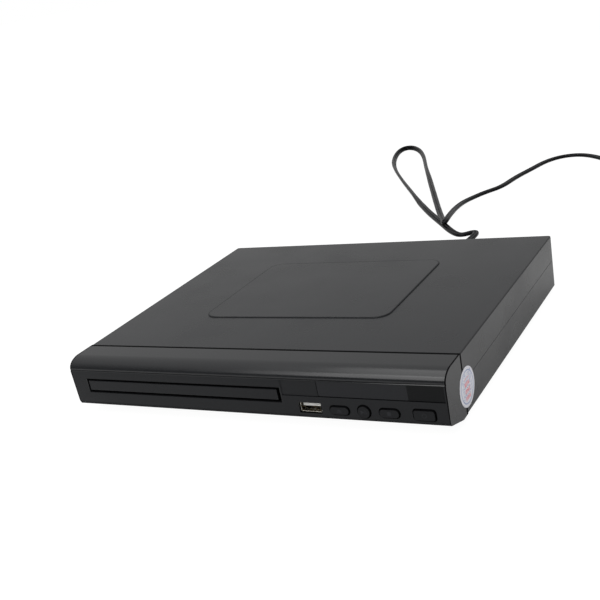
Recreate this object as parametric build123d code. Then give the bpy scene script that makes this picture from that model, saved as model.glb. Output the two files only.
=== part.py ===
from build123d import *
import math
import os

# Compact disc player with a motor-driven tray.
# X runs across the front, Y from front to rear, Z up. While it is modelled, Y = 0 is the joint between
# the front panel and the case and Z = 0 is the underside of the case. Lengths are millimetres.

# ---- case: two moulded shells ----
case_w = 250.0            # across the top edges, and across the front panel
case_d = 182.7            # front panel joint to the top rear edge
case_h = 35.0             # underside to top
side_draft = 0.9          # lean of each side and of the rear over the full height
wall = 2.2                # moulded wall of the shells and the front panel
split_z = 18.5            # joint between the lower and the upper shell
edge_r = 0.8              # rounding of the top edges
corner_r = 2.0            # rounding of the upright rear corners
lip_t = 1.0               # locating lip inside the joint
lip_h = 1.6
lip_gap = 0.1
field_w = 131.0           # raised field on the top
field_d = 96.3
field_x = -1.5
field_y = 92.8
field_h = 0.6
field_r = 9.0

# ---- case screws and feet ----
case_screw_x = case_w / 2 - 8.4
case_screw_y = (16.0, case_d - 12.7)
boss_r = 3.2
screw_r = 1.5
screw_fit = 0.05          # radial clearance of a screw in its hole
screw_head_r = 2.7
screw_head_h = 1.8
counterbore_h = 6.0
pilot_h = 9.0
foot_r = 6.5
foot_h = 3.0
foot_x = case_w / 2 - 22.0
foot_y = (14.0, case_d - 18.7)

# ---- ventilation slots under the boards ----
vent_w = 2.0
vent_l = 26.0
vent_count = 9

# ---- front panel ----
bezel_d = 24.4            # case joint to the flat front face
nose_a = 9.9              # rounded upper edge: half axis front to rear
nose_b = 6.0              # and half axis downwards
nose_back = 0.3           # the nose ends this far behind the flat face
crease_d = 0.8            # groove under the nose
crease_h = 0.7
face_bottom_z = 7.6       # lower end of the flat face
chin_y = 6.9              # where the sloping chin meets the underside
chin_front_z = 5.5
chin_front_back = 1.2
tab_l = 8.0               # tongues that reach under the top and over the floor
tab_w = 16.0
tab_t = 1.4
tab_x = (-95.0, -20.0, 95.0)

# ---- tray opening and tray front ----
slot_x0 = -case_w / 2 + 12.2
tray_w = 134.6
slot_x1 = slot_x0 + tray_w + 4.5
slot_z0 = 14.6
slot_z1 = 22.9
door_gap_left = 0.8
door_gap_right = 1.5
door_gap_top = 0.7
door_gap_bottom = 1.0
door_t = 2.8

# ---- right-hand bay, beside the tray ----
bay_w = case_w / 2 - slot_x1
bay_share = bay_w / 98.7  # what stands across the bay keeps this share of its full size

# ---- display strip ----
strip_x0 = slot_x1 + 1.4
strip_x1 = case_w / 2 - 1.7
strip_z1 = case_h - nose_b - crease_h
strip_h = 9.5
strip_z0 = strip_z1 - strip_h
strip_depth = 0.5
lens_x0 = strip_x1 - 73.4 * bay_share
lens_t = 1.2
lens_fit = 0.1
lens_pad_t = 1.0
lens_seat = 1.8           # width of the ledge behind the lens
strip_mid_z = (strip_z0 + strip_z1) / 2

# ---- front keys ----
key_z = 11.4
key_gap = 0.5             # round each key in the panel
key_proud = 0.9
key_travel = 0.5
key_flange = 1.1          # flange beyond the key's outline
key_flange_t = 1.0
key_flange_z = 8.7        # the flange is cut level above the chin
key_rear_gap = 0.1
key_stem_r = 1.6
key_stem_gap = 0.05       # beyond the travel, before the switch
keys = (                  # node, share of the way from the socket to the panel's end, width, height, corner radius
    ("eject_button", 0.2227, 11.6, 5.0, 2.45),
    ("play_button", 0.4016, 7.4, 7.4, 3.65),
    ("stop_button", 0.583, 11.6, 5.2, 2.55),
    ("power_button", 0.8248, 12.2, 6.2, 1.6),
)

# ---- USB socket ----
usb_x = slot_x1 + 17.65 * bay_share
usb_z = 11.8
usb_w = 13.4
usb_h = 5.8
usb_sheet = 0.35
usb_gap = 0.25
usb_tongue_w = 11.1
usb_tongue_t = 1.9
usb_back = 1.2            # its mouth stands this far behind the face
usb_tongue_back = 1.6
usb_tongue_up = 0.9
usb_base_l = 3.0

# ---- front board ----
board_t = 1.6
front_board_y = -8.6      # its front face
front_board_x = (slot_x1 + 4.0, case_w / 2 - 4.0)
front_board_z = (3.4, case_h - 5.0)
front_post_x = (lens_x0 + 2.5, strip_x1 - 22.3 * bay_share)
front_post_z = 17.5
front_post_r = 1.9
switch_w = 6.0
switch_t = 3.6
display_w = 47.0 * bay_share
display_h = strip_z1 - strip_z0 - 2.1
display_t = 6.0
display_x = lens_x0 + 26.6 * bay_share
pin_row_t = 0.8
ir_x = strip_x1 - 9.8 * bay_share
ir_w = display_h - 1.8

# ---- disc tray ----
disc_r = 60.0
disc_play = 0.6
small_disc_r = 40.0
disc_y = 45.0             # disc centre behind the case joint
tray_top = 21.8
tray_under = 17.7
well_z = 19.9
small_well_z = 18.9
tray_skin = 1.2
rail_under = 15.2
rail_w = 6.0
rack_rail_w = 7.8         # the right rail is wider and carries the rack
plate_back = 109.0        # rear end of the plate, behind the case joint
rail_back = 150.0
slot_r = 19.0             # cut-out for spindle and pickup
grip_r = 9.0
tray_travel = 126.0

# ---- loader frame ----
frame_wall = 2.0
side_play = 0.5
loader_front = -16.0
loader_back = 160.0
loader_floor_z = 9.6
loader_floor_t = 1.6
loader_top = 24.2
loader_foot_z = 4.0
loader_step_y = 4.0       # the walls reach down to their feet behind this
loader_lip_h = 2.0
ledge_t = 1.6
ledge_gap = 0.2
left_ledge_w = 5.4
right_ledge_w = 3.4
hold_w = 3.0
hold_l = 12.0
hold_y = (-14.0, 74.0, 140.0)
deck_window_y0 = 20.0
deck_window_y1 = 152.0
ear_w = 7.4
ear_l = 9.0
ear_y = (44.0, 128.0)
ear_boss_r = 2.8
cross_t = 2.0

# ---- tray drive ----
module_len = 0.8          # tooth module of the whole train
tooth_add = 0.9
tooth_ded = 1.15
backlash = 0.16
rack_in = 11.3            # tray's right side to the rack's pitch line
rack_root = 3.6           # rack body behind the pitch line
rack_teeth_n = 52
rack_under = 15.2
rack_top = 17.4
drive_teeth = 22          # meets the rack
reduce_teeth = 40         # on the same gear, below
pinion_teeth = 12         # on the pulley gear
gear_y = 1.0
train_angle = 188.0       # direction from the drive gear to the pulley gear
rack_gear_z = (15.1, 17.3)
reduce_gear_z = (11.8, 14.4)
gear_bore_r = 1.6
gear_fit = 0.06
pulley_groove_r = 9.0
pulley_rim_r = 9.9
motor_groove_r = 2.2
motor_rim_r = 3.0
belt_t = 1.0
belt_fit = 0.05
rim_t = 0.5
motor_in = -0.4           # beside the disc centre
motor_y = 6.0
motor_r = 10.0
motor_z = (3.2, 12.2)
motor_nose_r = 3.0
motor_shaft_r = 0.75
motor_fit = 0.2
motor_cup_t = 1.8

# ---- clamp ----
bridge_t = 1.4
bridge_y = (24.0, 66.0)
bridge_rib_h = 1.6
bridge_hole_r = 12.2
clamper_z = 22.5
clamper_pad_t = 1.3
clamper_pad_r = 13.5
clamper_neck_r = 11.6
clamper_gap = 0.4
clamper_cap_t = 2.2
clamper_cap_r = 15.0
magnet_r = 9.0
magnet_bore_r = 5.0
magnet_t = 1.6
magnet_fit = 0.1

# ---- lifting deck ----
lift_w = 82.0
deck_window_w = lift_w + 5.0
lift_y0 = 26.0
lift_y1 = 150.0
lift_z0 = 8.6
lift_t = 2.0
lift_window_x = (-27.0, 32.0)
lift_window_y = (42.0, 127.0)
lift_front_drop = 2.0     # how far the deck tips down, in degrees
pivot_y = 146.0
pivot_r = 1.8
pivot_fit = 0.06
pivot_ear_t = 4.0
pivot_gap = 0.6
cam_pin_r = 1.1
cam_pin_x = 22.0
cam_gap = 0.3
slider_t = 2.4
slider_y0 = 20.4
slider_z = (2.6, 12.0)
slider_x = (-41.0, 25.0)  # its ends, beside the disc centre
slider_travel = 16.0

# ---- reading deck ----
plate_t = 1.0
plate_w = 72.0
plate_y = (28.0, 140.0)
plate_window_x = (-26.0, 31.5)
plate_window_y = (57.6, 124.0)
damper_x = 31.0
damper_y = (34.0, 134.0)
damper_r = 4.4
damper_neck_r = 3.0
damper_fit = 0.05
damper_gap = 0.8          # rubber between the lift frame and the plate
spindle_motor_r = 12.0
spindle_motor_h = 5.2
spindle_shaft_r = 1.0
table_r = 15.0
table_z = 18.0
table_t = 3.0
hub_r = 7.4
hub_h = 1.6
hub_taper = 0.8
rod_r = 1.5
rod_z = 14.0
rod_left_x = -22.0
rod_right_x = 20.0
rod_y = (53.0, 129.0)
rod_fit = 0.05
clip_w = 5.0
clip_l = 3.0
sled_half_w = 17.5
sled_y = 58.4
sled_l = 26.0
sled_z = (8.8, 17.2)
sled_travel = 35.0
sled_bearing_l = 22.0
sled_bearing_w = 5.6
lens_housing_w = 18.0
lens_housing_l = 16.0
lens_housing_top = 19.0
lens_y = 69.4
lens_r = 2.6
lens_dome = 0.7
screw_x = 27.0
lead_r = 1.5
lead_z = 13.4
lead_y = (60.0, 112.0)
lead_pitch = 3.0
nut_gap = 0.3
sled_motor_r = 3.9
sled_motor_l = 14.0

# ---- boards at the right ----
board_z = 6.5
boards_x = (slot_x1 + 13.7, case_w / 2 - 13.0)
board_scale = (boards_x[1] - boards_x[0]) / 72.0
power_board_y = (8.0, case_d * 0.46)
main_board_y = (power_board_y[1] + 12.0, case_d - 4.7)
cable_x = (boards_x[0] + 20.0 * board_scale, boards_x[0] + 32.0 * board_scale)
cable_t = 0.8
cable_roof_gap = 3.8      # under the case's roof
vent_pitch = 6.0 * board_scale
vent_x = boards_x[0] + 12.0 * board_scale
vent_y = (30.0, case_d - 66.7)
standoff_r = 2.6
standoff_in = 4.0

# ---- rear sockets ----
jack_x = [case_w / 2 - away for away in (61.0, 46.0, 31.0)]
jack_z = 12.8
jack_r = 4.1
jack_bore_r = 3.4
jack_pin_bore_r = 1.6
jack_l = 9.0              # beyond the rear wall
jack_root_r = 3.9         # where it passes through the wall and the coloured ring
jack_block_d = 12.0
jack_block_h = 8.4
collar_r = 5.2
collar_l = 2.0
jack_gap = 0.4

# ---- mains cord ----
cord_x = 24.0
cord_z = 10.0             # exit above the underside of the case
cord_d = 3.6
bushing_r = 4.2
bushing_in = 4.0
bushing_out = 20.0
bushing_groove = 1.0
bushing_flange_t = 1.6
bushing_fit = 0.1
bushing_ease = 0.2        # along the cord, for the lean of the wall
lead_wire_r = 0.8
mains_y = power_board_y[1] - 13.0      # where the wires reach the power board
plug_l = 32.0
plug_neck_l = 14.0
plug_w = 24.0
plug_h = 14.0
blade_l = 17.0
blade_w = 6.3
blade_t = 1.5
blade_pitch = 12.7

# ---- inspection sticker on the right side ----
sticker_r = 11.0
sticker_t = 0.2
sticker_y = 2.8
sticker_z = 14.4

# Route of the cord above the table: X, Y behind the case joint, height of its middle.
low = cord_d / 2
cord_route = [
    (24.0, 211.0, 13.0), (24.2, 222.0, 10.8), (24.6, 235.0, 4.6), (25.3, 250.0, low + 0.2),
    (26.0, 268.0, low), (26.8, 286.0, low), (27.2, 299.0, low), (23.0, 307.0, low), (13.5, 303.6, low),
    (4.0, 307.5, low + 0.6), (-2.4, 315.2, low + 2.2), (-10.3, 327.5, 6.2), (-19.5, 341.0, 6.2),
    (-28.5, 354.5, low + 2.2), (-39.5, 371.0, low + 0.4), (-51.5, 387.5, low), (-75.8, 423.0, low),
    (-103.0, 466.0, low), (-130.0, 510.0, low), (-154.0, 556.0, low), (-171.0, 604.0, low),
    (-177.6, 627.0, low), (-177.2, 642.0, low), (-168.2, 649.0, low), (-156.4, 638.5, low),
    (-143.4, 614.5, low), (-131.0, 592.0, low), (-110.0, 544.5, low), (-87.0, 492.0, low),
    (-62.0, 437.0, low), (-39.5, 390.0, low), (-27.0, 364.0, low), (-20.3, 346.5, low),
    (-17.2, 332.2, low), (-10.6, 330.2, low), (-5.8, 335.2, low), (-8.0, 347.0, low),
    (-13.6, 364.0, low), (-17.3, 383.0, low), (-17.6, 402.0, low), (-13.8, 420.5, low),
    (-6.8, 438.0, low), (2.4, 453.5, low), (12.3, 471.5, low), (20.3, 497.0, low), (27.6, 523.5, low),
    (39.0, 538.0, low), (54.0, 541.5, low), (68.5, 535.0, low), (84.0, 520.0, low), (102.0, 499.0, low),
    (124.0, 481.0, low + 0.1), (147.0, 470.5, low + 0.8), (168.0, 467.0, 5.0), (187.0, 468.4, 7.0),
    (204.0, 472.0, 7.0),
]

# ---- values that follow from the sizes above ----
door_x0 = slot_x0 + door_gap_left
door_x1 = slot_x1 - door_gap_right
disc_x = (door_x0 + door_x1) / 2
tray_x0 = disc_x - tray_w / 2
tray_x1 = disc_x + tray_w / 2
tray_front = -bezel_d + door_t
well_r = disc_r + disc_play
small_well_r = small_disc_r + disc_play
loader_x0 = tray_x0 - side_play - frame_wall
loader_x1 = tray_x1 + side_play + frame_wall
loader_floor_top = loader_floor_z + loader_floor_t
drive_r = drive_teeth * module_len / 2
reduce_r = reduce_teeth * module_len / 2
pinion_r = pinion_teeth * module_len / 2
rack_x = tray_x1 - rack_in
motor_x = disc_x + motor_in
drive_x = rack_x - drive_r
train_dir = math.radians(train_angle)
pulley_x = drive_x + (reduce_r + pinion_r) * math.cos(train_dir)
pulley_y = gear_y + (reduce_r + pinion_r) * math.sin(train_dir)
lift_top = lift_z0 + lift_t
plate_z0 = lift_top + damper_gap
plate_top = plate_z0 + plate_t
pivot_z = lift_z0 + lift_t / 2
face_y = -bezel_d
board_top = board_z + board_t
exit_y = case_d + bushing_out
front_edge = -bezel_d - key_proud
rear_edge = case_d + jack_l
to_part_frame = Pos(0, -(front_edge + rear_edge) / 2, foot_h)


# ---- plain shapes ----
def box(x0, x1, y0, y1, z0, z1):
    return Pos((x0 + x1) / 2, (y0 + y1) / 2, (z0 + z1) / 2) * Box(x1 - x0, y1 - y0, z1 - z0)


def post(x, y, z0, z1, r):
    return Pos(x, y, (z0 + z1) / 2) * Cylinder(r, z1 - z0)


def tube(x, y, z0, z1, r, bore):
    return post(x, y, z0, z1, r) - post(x, y, z0, z1, bore)


def bar_y(x, z, y0, y1, r):
    return Pos(x, (y0 + y1) / 2, z) * Rot(90, 0, 0) * Cylinder(r, y1 - y0)


def bar_x(y, z, x0, x1, r):
    return Pos((x0 + x1) / 2, y, z) * Rot(0, 90, 0) * Cylinder(r, x1 - x0)


def prism_x(points, x0, x1):
    """A closed Y-Z outline run from x0 to x1."""
    return extrude(Plane.YZ.offset(x0) * make_face(Polyline(*points, close=True)), x1 - x0)


def prism_y(points, y0, y1):
    """A closed X-Z outline run from y0 to y1."""
    return extrude(Plane.XZ.offset(-y1) * make_face(Polyline(*points, close=True)), y1 - y0)


def plate_y_rounded(x, z, width, height, radius, y0, y1):
    """A rounded rectangle that faces the front, from y0 to y1."""
    return extrude(Plane.XZ.offset(-y1) * Pos(x, z) * RectangleRounded(width, height, radius), y1 - y0)


def strip_points(line, thickness):
    """Outline of a thin strip along an open Y-Z line, thickened upwards."""
    return list(line) + [(y, z + thickness) for y, z in reversed(line)]


# ---- gears ----
def gear_outline(teeth):
    """A spur gear with a tooth centred on +X; its flanks run straight from root to tip."""
    pitch = teeth * module_len / 2
    base = pitch * math.cos(math.radians(20))
    involute = math.tan(math.radians(20)) - math.radians(20)

    def half_angle(radius):
        pressure = math.acos(min(1.0, base / radius))
        return math.pi / (2 * teeth) + involute - (math.tan(pressure) - pressure) - backlash / (2 * pitch)

    root = pitch - tooth_ded * module_len
    tip = pitch + tooth_add * module_len
    corners = ((root, -half_angle(root)), (tip, -half_angle(tip)), (tip, half_angle(tip)), (root, half_angle(root)))
    points = []
    for tooth in range(teeth):
        centre = 2 * math.pi * tooth / teeth
        points += [(r * math.cos(centre + a), r * math.sin(centre + a)) for r, a in corners]
    return make_face(Polyline(*points, close=True))


def gear(teeth, x, y, z0, z1, turned):
    return Pos(x, y, z0) * Rot(0, 0, turned) * extrude(gear_outline(teeth), z1 - z0)


def rack():
    """Rack teeth that point left, with a space level with the drive gear's axis."""
    pitch = math.pi * module_len
    tip = rack_x - tooth_add * module_len
    root = rack_x + tooth_ded * module_len
    slope = math.tan(math.radians(20))
    half_tip = pitch / 4 - backlash / 2 - slope * (rack_x - tip)
    half_root = pitch / 4 - backlash / 2 + slope * (root - rack_x)
    points = []
    for tooth in range(rack_teeth_n):
        y = gear_y + (tooth - 0.5) * pitch
        points += [(root, y - half_root), (tip, y - half_tip), (tip, y + half_tip), (root, y + half_root)]
    y_last = points[-1][1]
    points += [(rack_x + rack_root, y_last), (rack_x + rack_root, points[0][1])]
    return Pos(0, 0, rack_under) * extrude(make_face(Polyline(*points, close=True)), rack_top - rack_under)


# ---- case ----
def case_block(inset, y0, z0, z1):
    """The leaning outline of the case, drawn in by inset at the sides and the rear, from y0 back."""
    def half_width(z):
        return case_w / 2 - side_draft * (1 - z / case_h) - inset

    def back(z):
        return case_d - side_draft * (1 - z / case_h) - inset

    across = [(-half_width(z0), z0), (half_width(z0), z0), (half_width(z1), z1), (-half_width(z1), z1)]
    along = [(y0, z0), (back(z0), z0), (back(z1), z1), (y0, z1)]
    return prism_y(across, y0, case_d) & prism_x(along, -case_w / 2, case_w / 2)


def upright_rear_edges(solid):
    """The two upright edges at the rear corners."""
    return solid.edges().filter_by(lambda e: abs((e % 0).Z) > 0.9).sort_by(Axis.Y)[-2:]


def case_shell(z0, z1, floor, roof):
    outer = case_block(0, 0, z0, z1)
    outer = fillet(upright_rear_edges(outer), corner_r)
    return outer - case_block(wall, -1, floor, roof)


def case_screw_points():
    return [(x, y) for y in case_screw_y for x in (-case_screw_x, case_screw_x)]


def top_cover():
    """Upper shell: roof, sides and rear, with a raised field and four blind screw bosses."""
    shell = case_shell(split_z, case_h, split_z - 1, case_h - wall)
    rims = shell.edges().group_by(Axis.Z)[-1].sort_by(Axis.Y)[1:]
    shell = fillet(rims, edge_r)
    field = Pos(field_x, field_y, case_h) * extrude(RectangleRounded(field_w, field_d, field_r), field_h)
    field = chamfer(field.faces().sort_by(Axis.Z)[-1].edges(), field_h / 2)
    shell += field
    for x, y in case_screw_points():
        shell += post(x, y, split_z, case_h - wall / 2, boss_r)
        shell -= post(x, y, split_z - 1, split_z + pilot_h, screw_r + screw_fit)
    return shell


def bottom_case():
    """Lower shell: floor, sides and rear, with screw tubes, a locating lip, posts, vents and socket holes."""
    shell = case_shell(0, split_z, wall, split_z + 1)
    lip_foot = lip_h
    lip = case_block(wall - lip_t / 2, wall, split_z - lip_foot, split_z)
    lip += case_block(wall + lip_gap, wall, split_z - lip_foot, split_z + lip_h)
    lip -= case_block(wall + lip_gap + lip_t, wall - 1, split_z - lip_foot - 1, split_z + lip_h + 1)
    shell += lip
    for x, y in case_screw_points():
        shell += post(x, y, wall / 2, split_z, boss_r)
        shell -= post(x, y, -1, split_z + 1, screw_r + screw_fit)
        shell -= post(x, y, -1, counterbore_h, screw_head_r + screw_fit)
    for x, y in ear_points():
        shell += tube(x, y, wall / 2, loader_floor_z, ear_boss_r, screw_r + screw_fit)
    for x, y in board_posts():
        shell += tube(x, y, wall / 2, board_z, standoff_r, screw_r + screw_fit)
    for row_y in vent_y:
        for i in range(vent_count):
            slot_at = vent_x + i * vent_pitch
            shell -= box(slot_at - vent_w / 2, slot_at + vent_w / 2, row_y - vent_l / 2, row_y + vent_l / 2, -1, wall + 1)
    for x in jack_x:
        shell -= bar_y(x, jack_z, case_d - 2 * wall, case_d + 1, jack_root_r + jack_gap)
    shell -= bar_y(cord_x, cord_z, case_d - 2 * wall, case_d + 1, bushing_r - bushing_groove + bushing_fit)
    return shell


def rubber_feet():
    return [post(x, y, -foot_h, 0, foot_r) for y in foot_y for x in (-foot_x, foot_x)]


def screw(x, y, z_head, length):
    """A pan-head screw that points up from its head."""
    return post(x, y, z_head - screw_head_h, z_head, screw_head_r) + post(x, y, z_head, z_head + length, screw_r)


def case_screws():
    length = split_z + pilot_h - 1 - counterbore_h
    return [screw(x, y, counterbore_h, length) for x, y in case_screw_points()]


# ---- front panel ----
def panel_outline(inset):
    """Side view of the front panel, drawn in by inset; the rear edge stays on the case joint."""
    nose_y = bezel_d - nose_back - nose_a
    a, b = nose_a - inset, nose_b - inset
    nose_z = case_h - nose_b
    top = Line((0, case_h - inset), (-nose_y, case_h - inset))
    nose = EllipticalCenterArc((-nose_y, nose_z), a, b, start_angle=90, arc_size=90)
    front = -bezel_d + inset
    lean = inset * 0.45
    rest = Polyline(
        (-nose_y - a, nose_z),
        (-nose_y - a + crease_d / 2, nose_z - crease_h / 2),
        (front, nose_z - crease_h),
        (front, face_bottom_z + lean),
        (front + chin_front_back * 0.8, chin_front_z + lean * 2),
        (-chin_y + lean, inset),
        (0, inset),
        (0, case_h - inset),
    )
    return make_face(Curve() + [top, nose, rest])


def panel_block(inset):
    """The panel's outline across the full width, with the lean of the case's sides."""
    half_low = case_w / 2 - side_draft - inset
    half_high = case_w / 2 - inset
    run = extrude(Plane.YZ.offset(-case_w / 2) * panel_outline(inset), case_w)
    across = [(-half_low, 0), (half_low, 0), (half_high, case_h), (-half_high, case_h)]
    return run & prism_y(across, -bezel_d - 1, 0)


def key_x(share):
    return usb_x + share * (case_w / 2 - usb_x)


def key_outline(share, width, height, radius, grow, y0, y1):
    width, height, radius = width * bay_share, height * bay_share, radius * bay_share
    return plate_y_rounded(key_x(share), key_z, width + 2 * grow, height + 2 * grow, radius + grow, y0, y1)


def front_bezel():
    """Moulded front panel with the tray opening, display strip, key and socket holes and fixing tongues."""
    panel = panel_block(0) - panel_block(wall)
    panel -= box(slot_x0, slot_x1, face_y - 1, face_y + wall + 1, slot_z0, slot_z1)
    back = face_y + wall
    recess = face_y + strip_depth
    panel += box(lens_x0 - 1, strip_x1, back - 0.1, back + lens_pad_t, strip_z0 - lens_seat, strip_z1 + lens_seat / 2)
    panel -= box(strip_x0, strip_x1, face_y - 1, recess, strip_z0, strip_z1)
    panel -= box(lens_x0, strip_x1, recess - 0.1, recess + lens_t, strip_z0, strip_z1)
    window = (lens_x0 + lens_seat, strip_x1 - lens_seat, strip_z0 + lens_seat, strip_z1 - lens_seat)
    panel -= box(window[0], window[1], face_y - 1, back + lens_pad_t + 1, window[2], window[3])
    panel -= box(usb_x - usb_w / 2 - usb_gap, usb_x + usb_w / 2 + usb_gap, face_y - 1, back + 1,
                 usb_z - usb_h / 2 - usb_gap, usb_z + usb_h / 2 + usb_gap)
    for _, share, width, height, radius in keys:
        panel -= key_outline(share, width, height, radius, key_gap, face_y - 1, back + key_travel + 0.7)
    for x in front_post_x:
        panel += bar_y(x, front_post_z, back - 0.2, front_board_y, front_post_r)
        panel -= bar_y(x, front_post_z, front_board_y - 6, front_board_y + 1, 0.8)
    for x in tab_x:
        high = case_h - wall - lip_gap
        panel += box(x - tab_w / 2, x + tab_w / 2, -3, tab_l, high - tab_t, high)
        panel += box(x - tab_w / 2, x + tab_w / 2, -3, 0, high - tab_t, case_h - wall / 2)
    return panel


def display_lens():
    front = face_y + strip_depth
    return box(lens_x0 + lens_fit, strip_x1 - lens_fit, front, front + lens_t, strip_z0 + lens_fit, strip_z1 - lens_fit)


def front_key(share, width, height, radius):
    """A key with its retaining flange and the stem that reaches its switch."""
    back = face_y + wall + key_rear_gap
    x = key_x(share)
    cap = key_outline(share, width, height, radius, 0, face_y - key_proud, back)
    cap = chamfer(cap.faces().sort_by(Axis.Y)[0].edges(), 0.35)
    flange = key_outline(share, width, height, radius, key_flange, back, back + key_flange_t)
    flange -= box(x - width, x + width, back, back + key_flange_t + 1, 0, key_flange_z)
    stem_end = front_board_y - switch_t - 0.8 - key_travel - key_stem_gap
    return cap + flange + bar_y(x, key_z, back, stem_end, key_stem_r)


def usb_shell():
    """Folded metal sleeve, open at the front."""
    mouth = face_y + usb_back
    sleeve = box(usb_x - usb_w / 2, usb_x + usb_w / 2, mouth, front_board_y, usb_z - usb_h / 2, usb_z + usb_h / 2)
    half_w, half_h = usb_w / 2 - usb_sheet, usb_h / 2 - usb_sheet
    return sleeve - box(usb_x - half_w, usb_x + half_w, face_y - 1, front_board_y + 1, usb_z - half_h, usb_z + half_h)


def usb_tongue():
    half_w, half_h = usb_w / 2 - usb_sheet, usb_h / 2 - usb_sheet
    base_front = front_board_y - usb_base_l
    base = box(usb_x - half_w, usb_x + half_w, base_front, front_board_y, usb_z - half_h, usb_z + half_h)
    mid = usb_z + usb_tongue_up
    return base + box(usb_x - usb_tongue_w / 2, usb_x + usb_tongue_w / 2, face_y + usb_back + usb_tongue_back, base_front,
                      mid - usb_tongue_t / 2, mid + usb_tongue_t / 2)


def front_board():
    board = box(*front_board_x, front_board_y, front_board_y + board_t, *front_board_z)
    for x in front_post_x:
        board -= bar_y(x, front_post_z, front_board_y - 1, front_board_y + board_t + 1, 1.1)
    return board


def tact_switches():
    found = []
    for _, share, _, _, _ in keys:
        x = key_x(share)
        half = switch_w / 2
        body = box(x - half, x + half, front_board_y - switch_t, front_board_y, key_z - half, key_z + half)
        found.append(body + bar_y(x, key_z, front_board_y - switch_t - 0.8, front_board_y - switch_t, 1.7))
    return found


def display_module():
    """Four-digit display held off the board by its two rows of pins."""
    front = face_y + wall + lens_pad_t + lens_fit
    half_w, half_h = display_w / 2, display_h / 2
    body = box(display_x - half_w, display_x + half_w, front, front + display_t, strip_mid_z - half_h, strip_mid_z + half_h)
    for side in (-1, 1):
        z = strip_mid_z + side * (half_h - pin_row_t)
        body += box(display_x - half_w * 0.8, display_x + half_w * 0.8, front + display_t, front_board_y,
                    z - pin_row_t / 2, z + pin_row_t / 2)
    return body


def ir_receiver():
    """Remote-control sensor with a domed front, on three stiff leads."""
    half = ir_w / 2
    back = face_y + wall + lens_pad_t + lens_t + 4
    body = box(ir_x - half, ir_x + half, back - 3, back, strip_mid_z - half, strip_mid_z + half)
    body += Pos(ir_x, back - 3, strip_mid_z) * Rot(90, 0, 0) * Cylinder(half * 0.75, 1.2, align=(Align.CENTER, Align.CENTER, Align.MIN))
    for step in (-1, 0, 1):
        x = ir_x + step * half * 0.7
        body += box(x - 0.3, x + 0.3, back, front_board_y, strip_mid_z - 0.3, strip_mid_z + 0.3)
    return body


# ---- tray ----
def tray_door():
    """Tray front: a flat trim with chamfered edges and three pegs into the tray."""
    z0, z1 = slot_z0 + door_gap_bottom, slot_z1 - door_gap_top
    door = box(door_x0, door_x1, face_y, tray_front, z0, z1)
    door = chamfer(door.faces().sort_by(Axis.Y)[0].edges(), 0.3)
    for x in peg_xs():
        door += box(x - 3, x + 3, tray_front, tray_front + tray_skin, well_z - 1.2, well_z + 0.4)
    return door


def peg_xs():
    return [disc_x + side * tray_w * 0.36 for side in (-1, 0, 1)]


def disc_tray():
    """Sliding tray: stepped disc well, cut-out open to the rear, side rails and the rack under the right rail."""
    skin = tray_skin
    plate = box(tray_x0, tray_x1, tray_front, plate_back, tray_top - skin, tray_top)
    plate += box(tray_x0, tray_x1, tray_front, tray_front + skin, tray_under, tray_top)
    plate += post(disc_x, disc_y, well_z - skin, tray_top, well_r + skin)
    grips = [(disc_x + side * well_r * 0.72, disc_y - well_r * 0.72) for side in (-1, 1)]
    plate += [post(x, y, well_z - skin, tray_top, grip_r + skin) for x, y in grips]
    plate += post(disc_x, disc_y, tray_under, tray_top - skin, small_well_r + skin)
    plate &= box(tray_x0, tray_x1, tray_front, plate_back, tray_under, tray_top)
    for x in (disc_x - well_r * 0.82, disc_x + well_r * 0.82):
        plate += box(x - 0.6, x + 0.6, tray_front + skin, plate_back, tray_under, tray_top - skin)
    plate += box(tray_x0, tray_x0 + rail_w, tray_front, rail_back, rail_under, tray_top)
    plate += box(tray_x1 - rack_rail_w, tray_x1, tray_front, rail_back, rail_under, tray_top)
    plate -= post(disc_x, disc_y, well_z, tray_top + 1, well_r)
    plate -= post(disc_x, disc_y, small_well_z, tray_top + 1, small_well_r)
    plate -= [post(x, y, well_z, tray_top + 1, grip_r) for x, y in grips]
    plate -= post(disc_x, disc_y, tray_under - 1, tray_top + 1, slot_r)
    plate -= box(disc_x - slot_r, disc_x + slot_r, disc_y, plate_back + 1, tray_under - 1, tray_top + 1)
    for x in peg_xs():
        plate -= box(x - 3.1, x + 3.1, tray_front - 1, tray_front + skin + 0.1, well_z - 1.3, well_z + 0.5)
    return plate + rack()


# ---- loader frame ----
def ear_points():
    left = loader_x0 - ear_w / 2
    right = loader_x1 + ear_w / 2
    return [(x, y) for y in ear_y for x in (left, right)]


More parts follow.
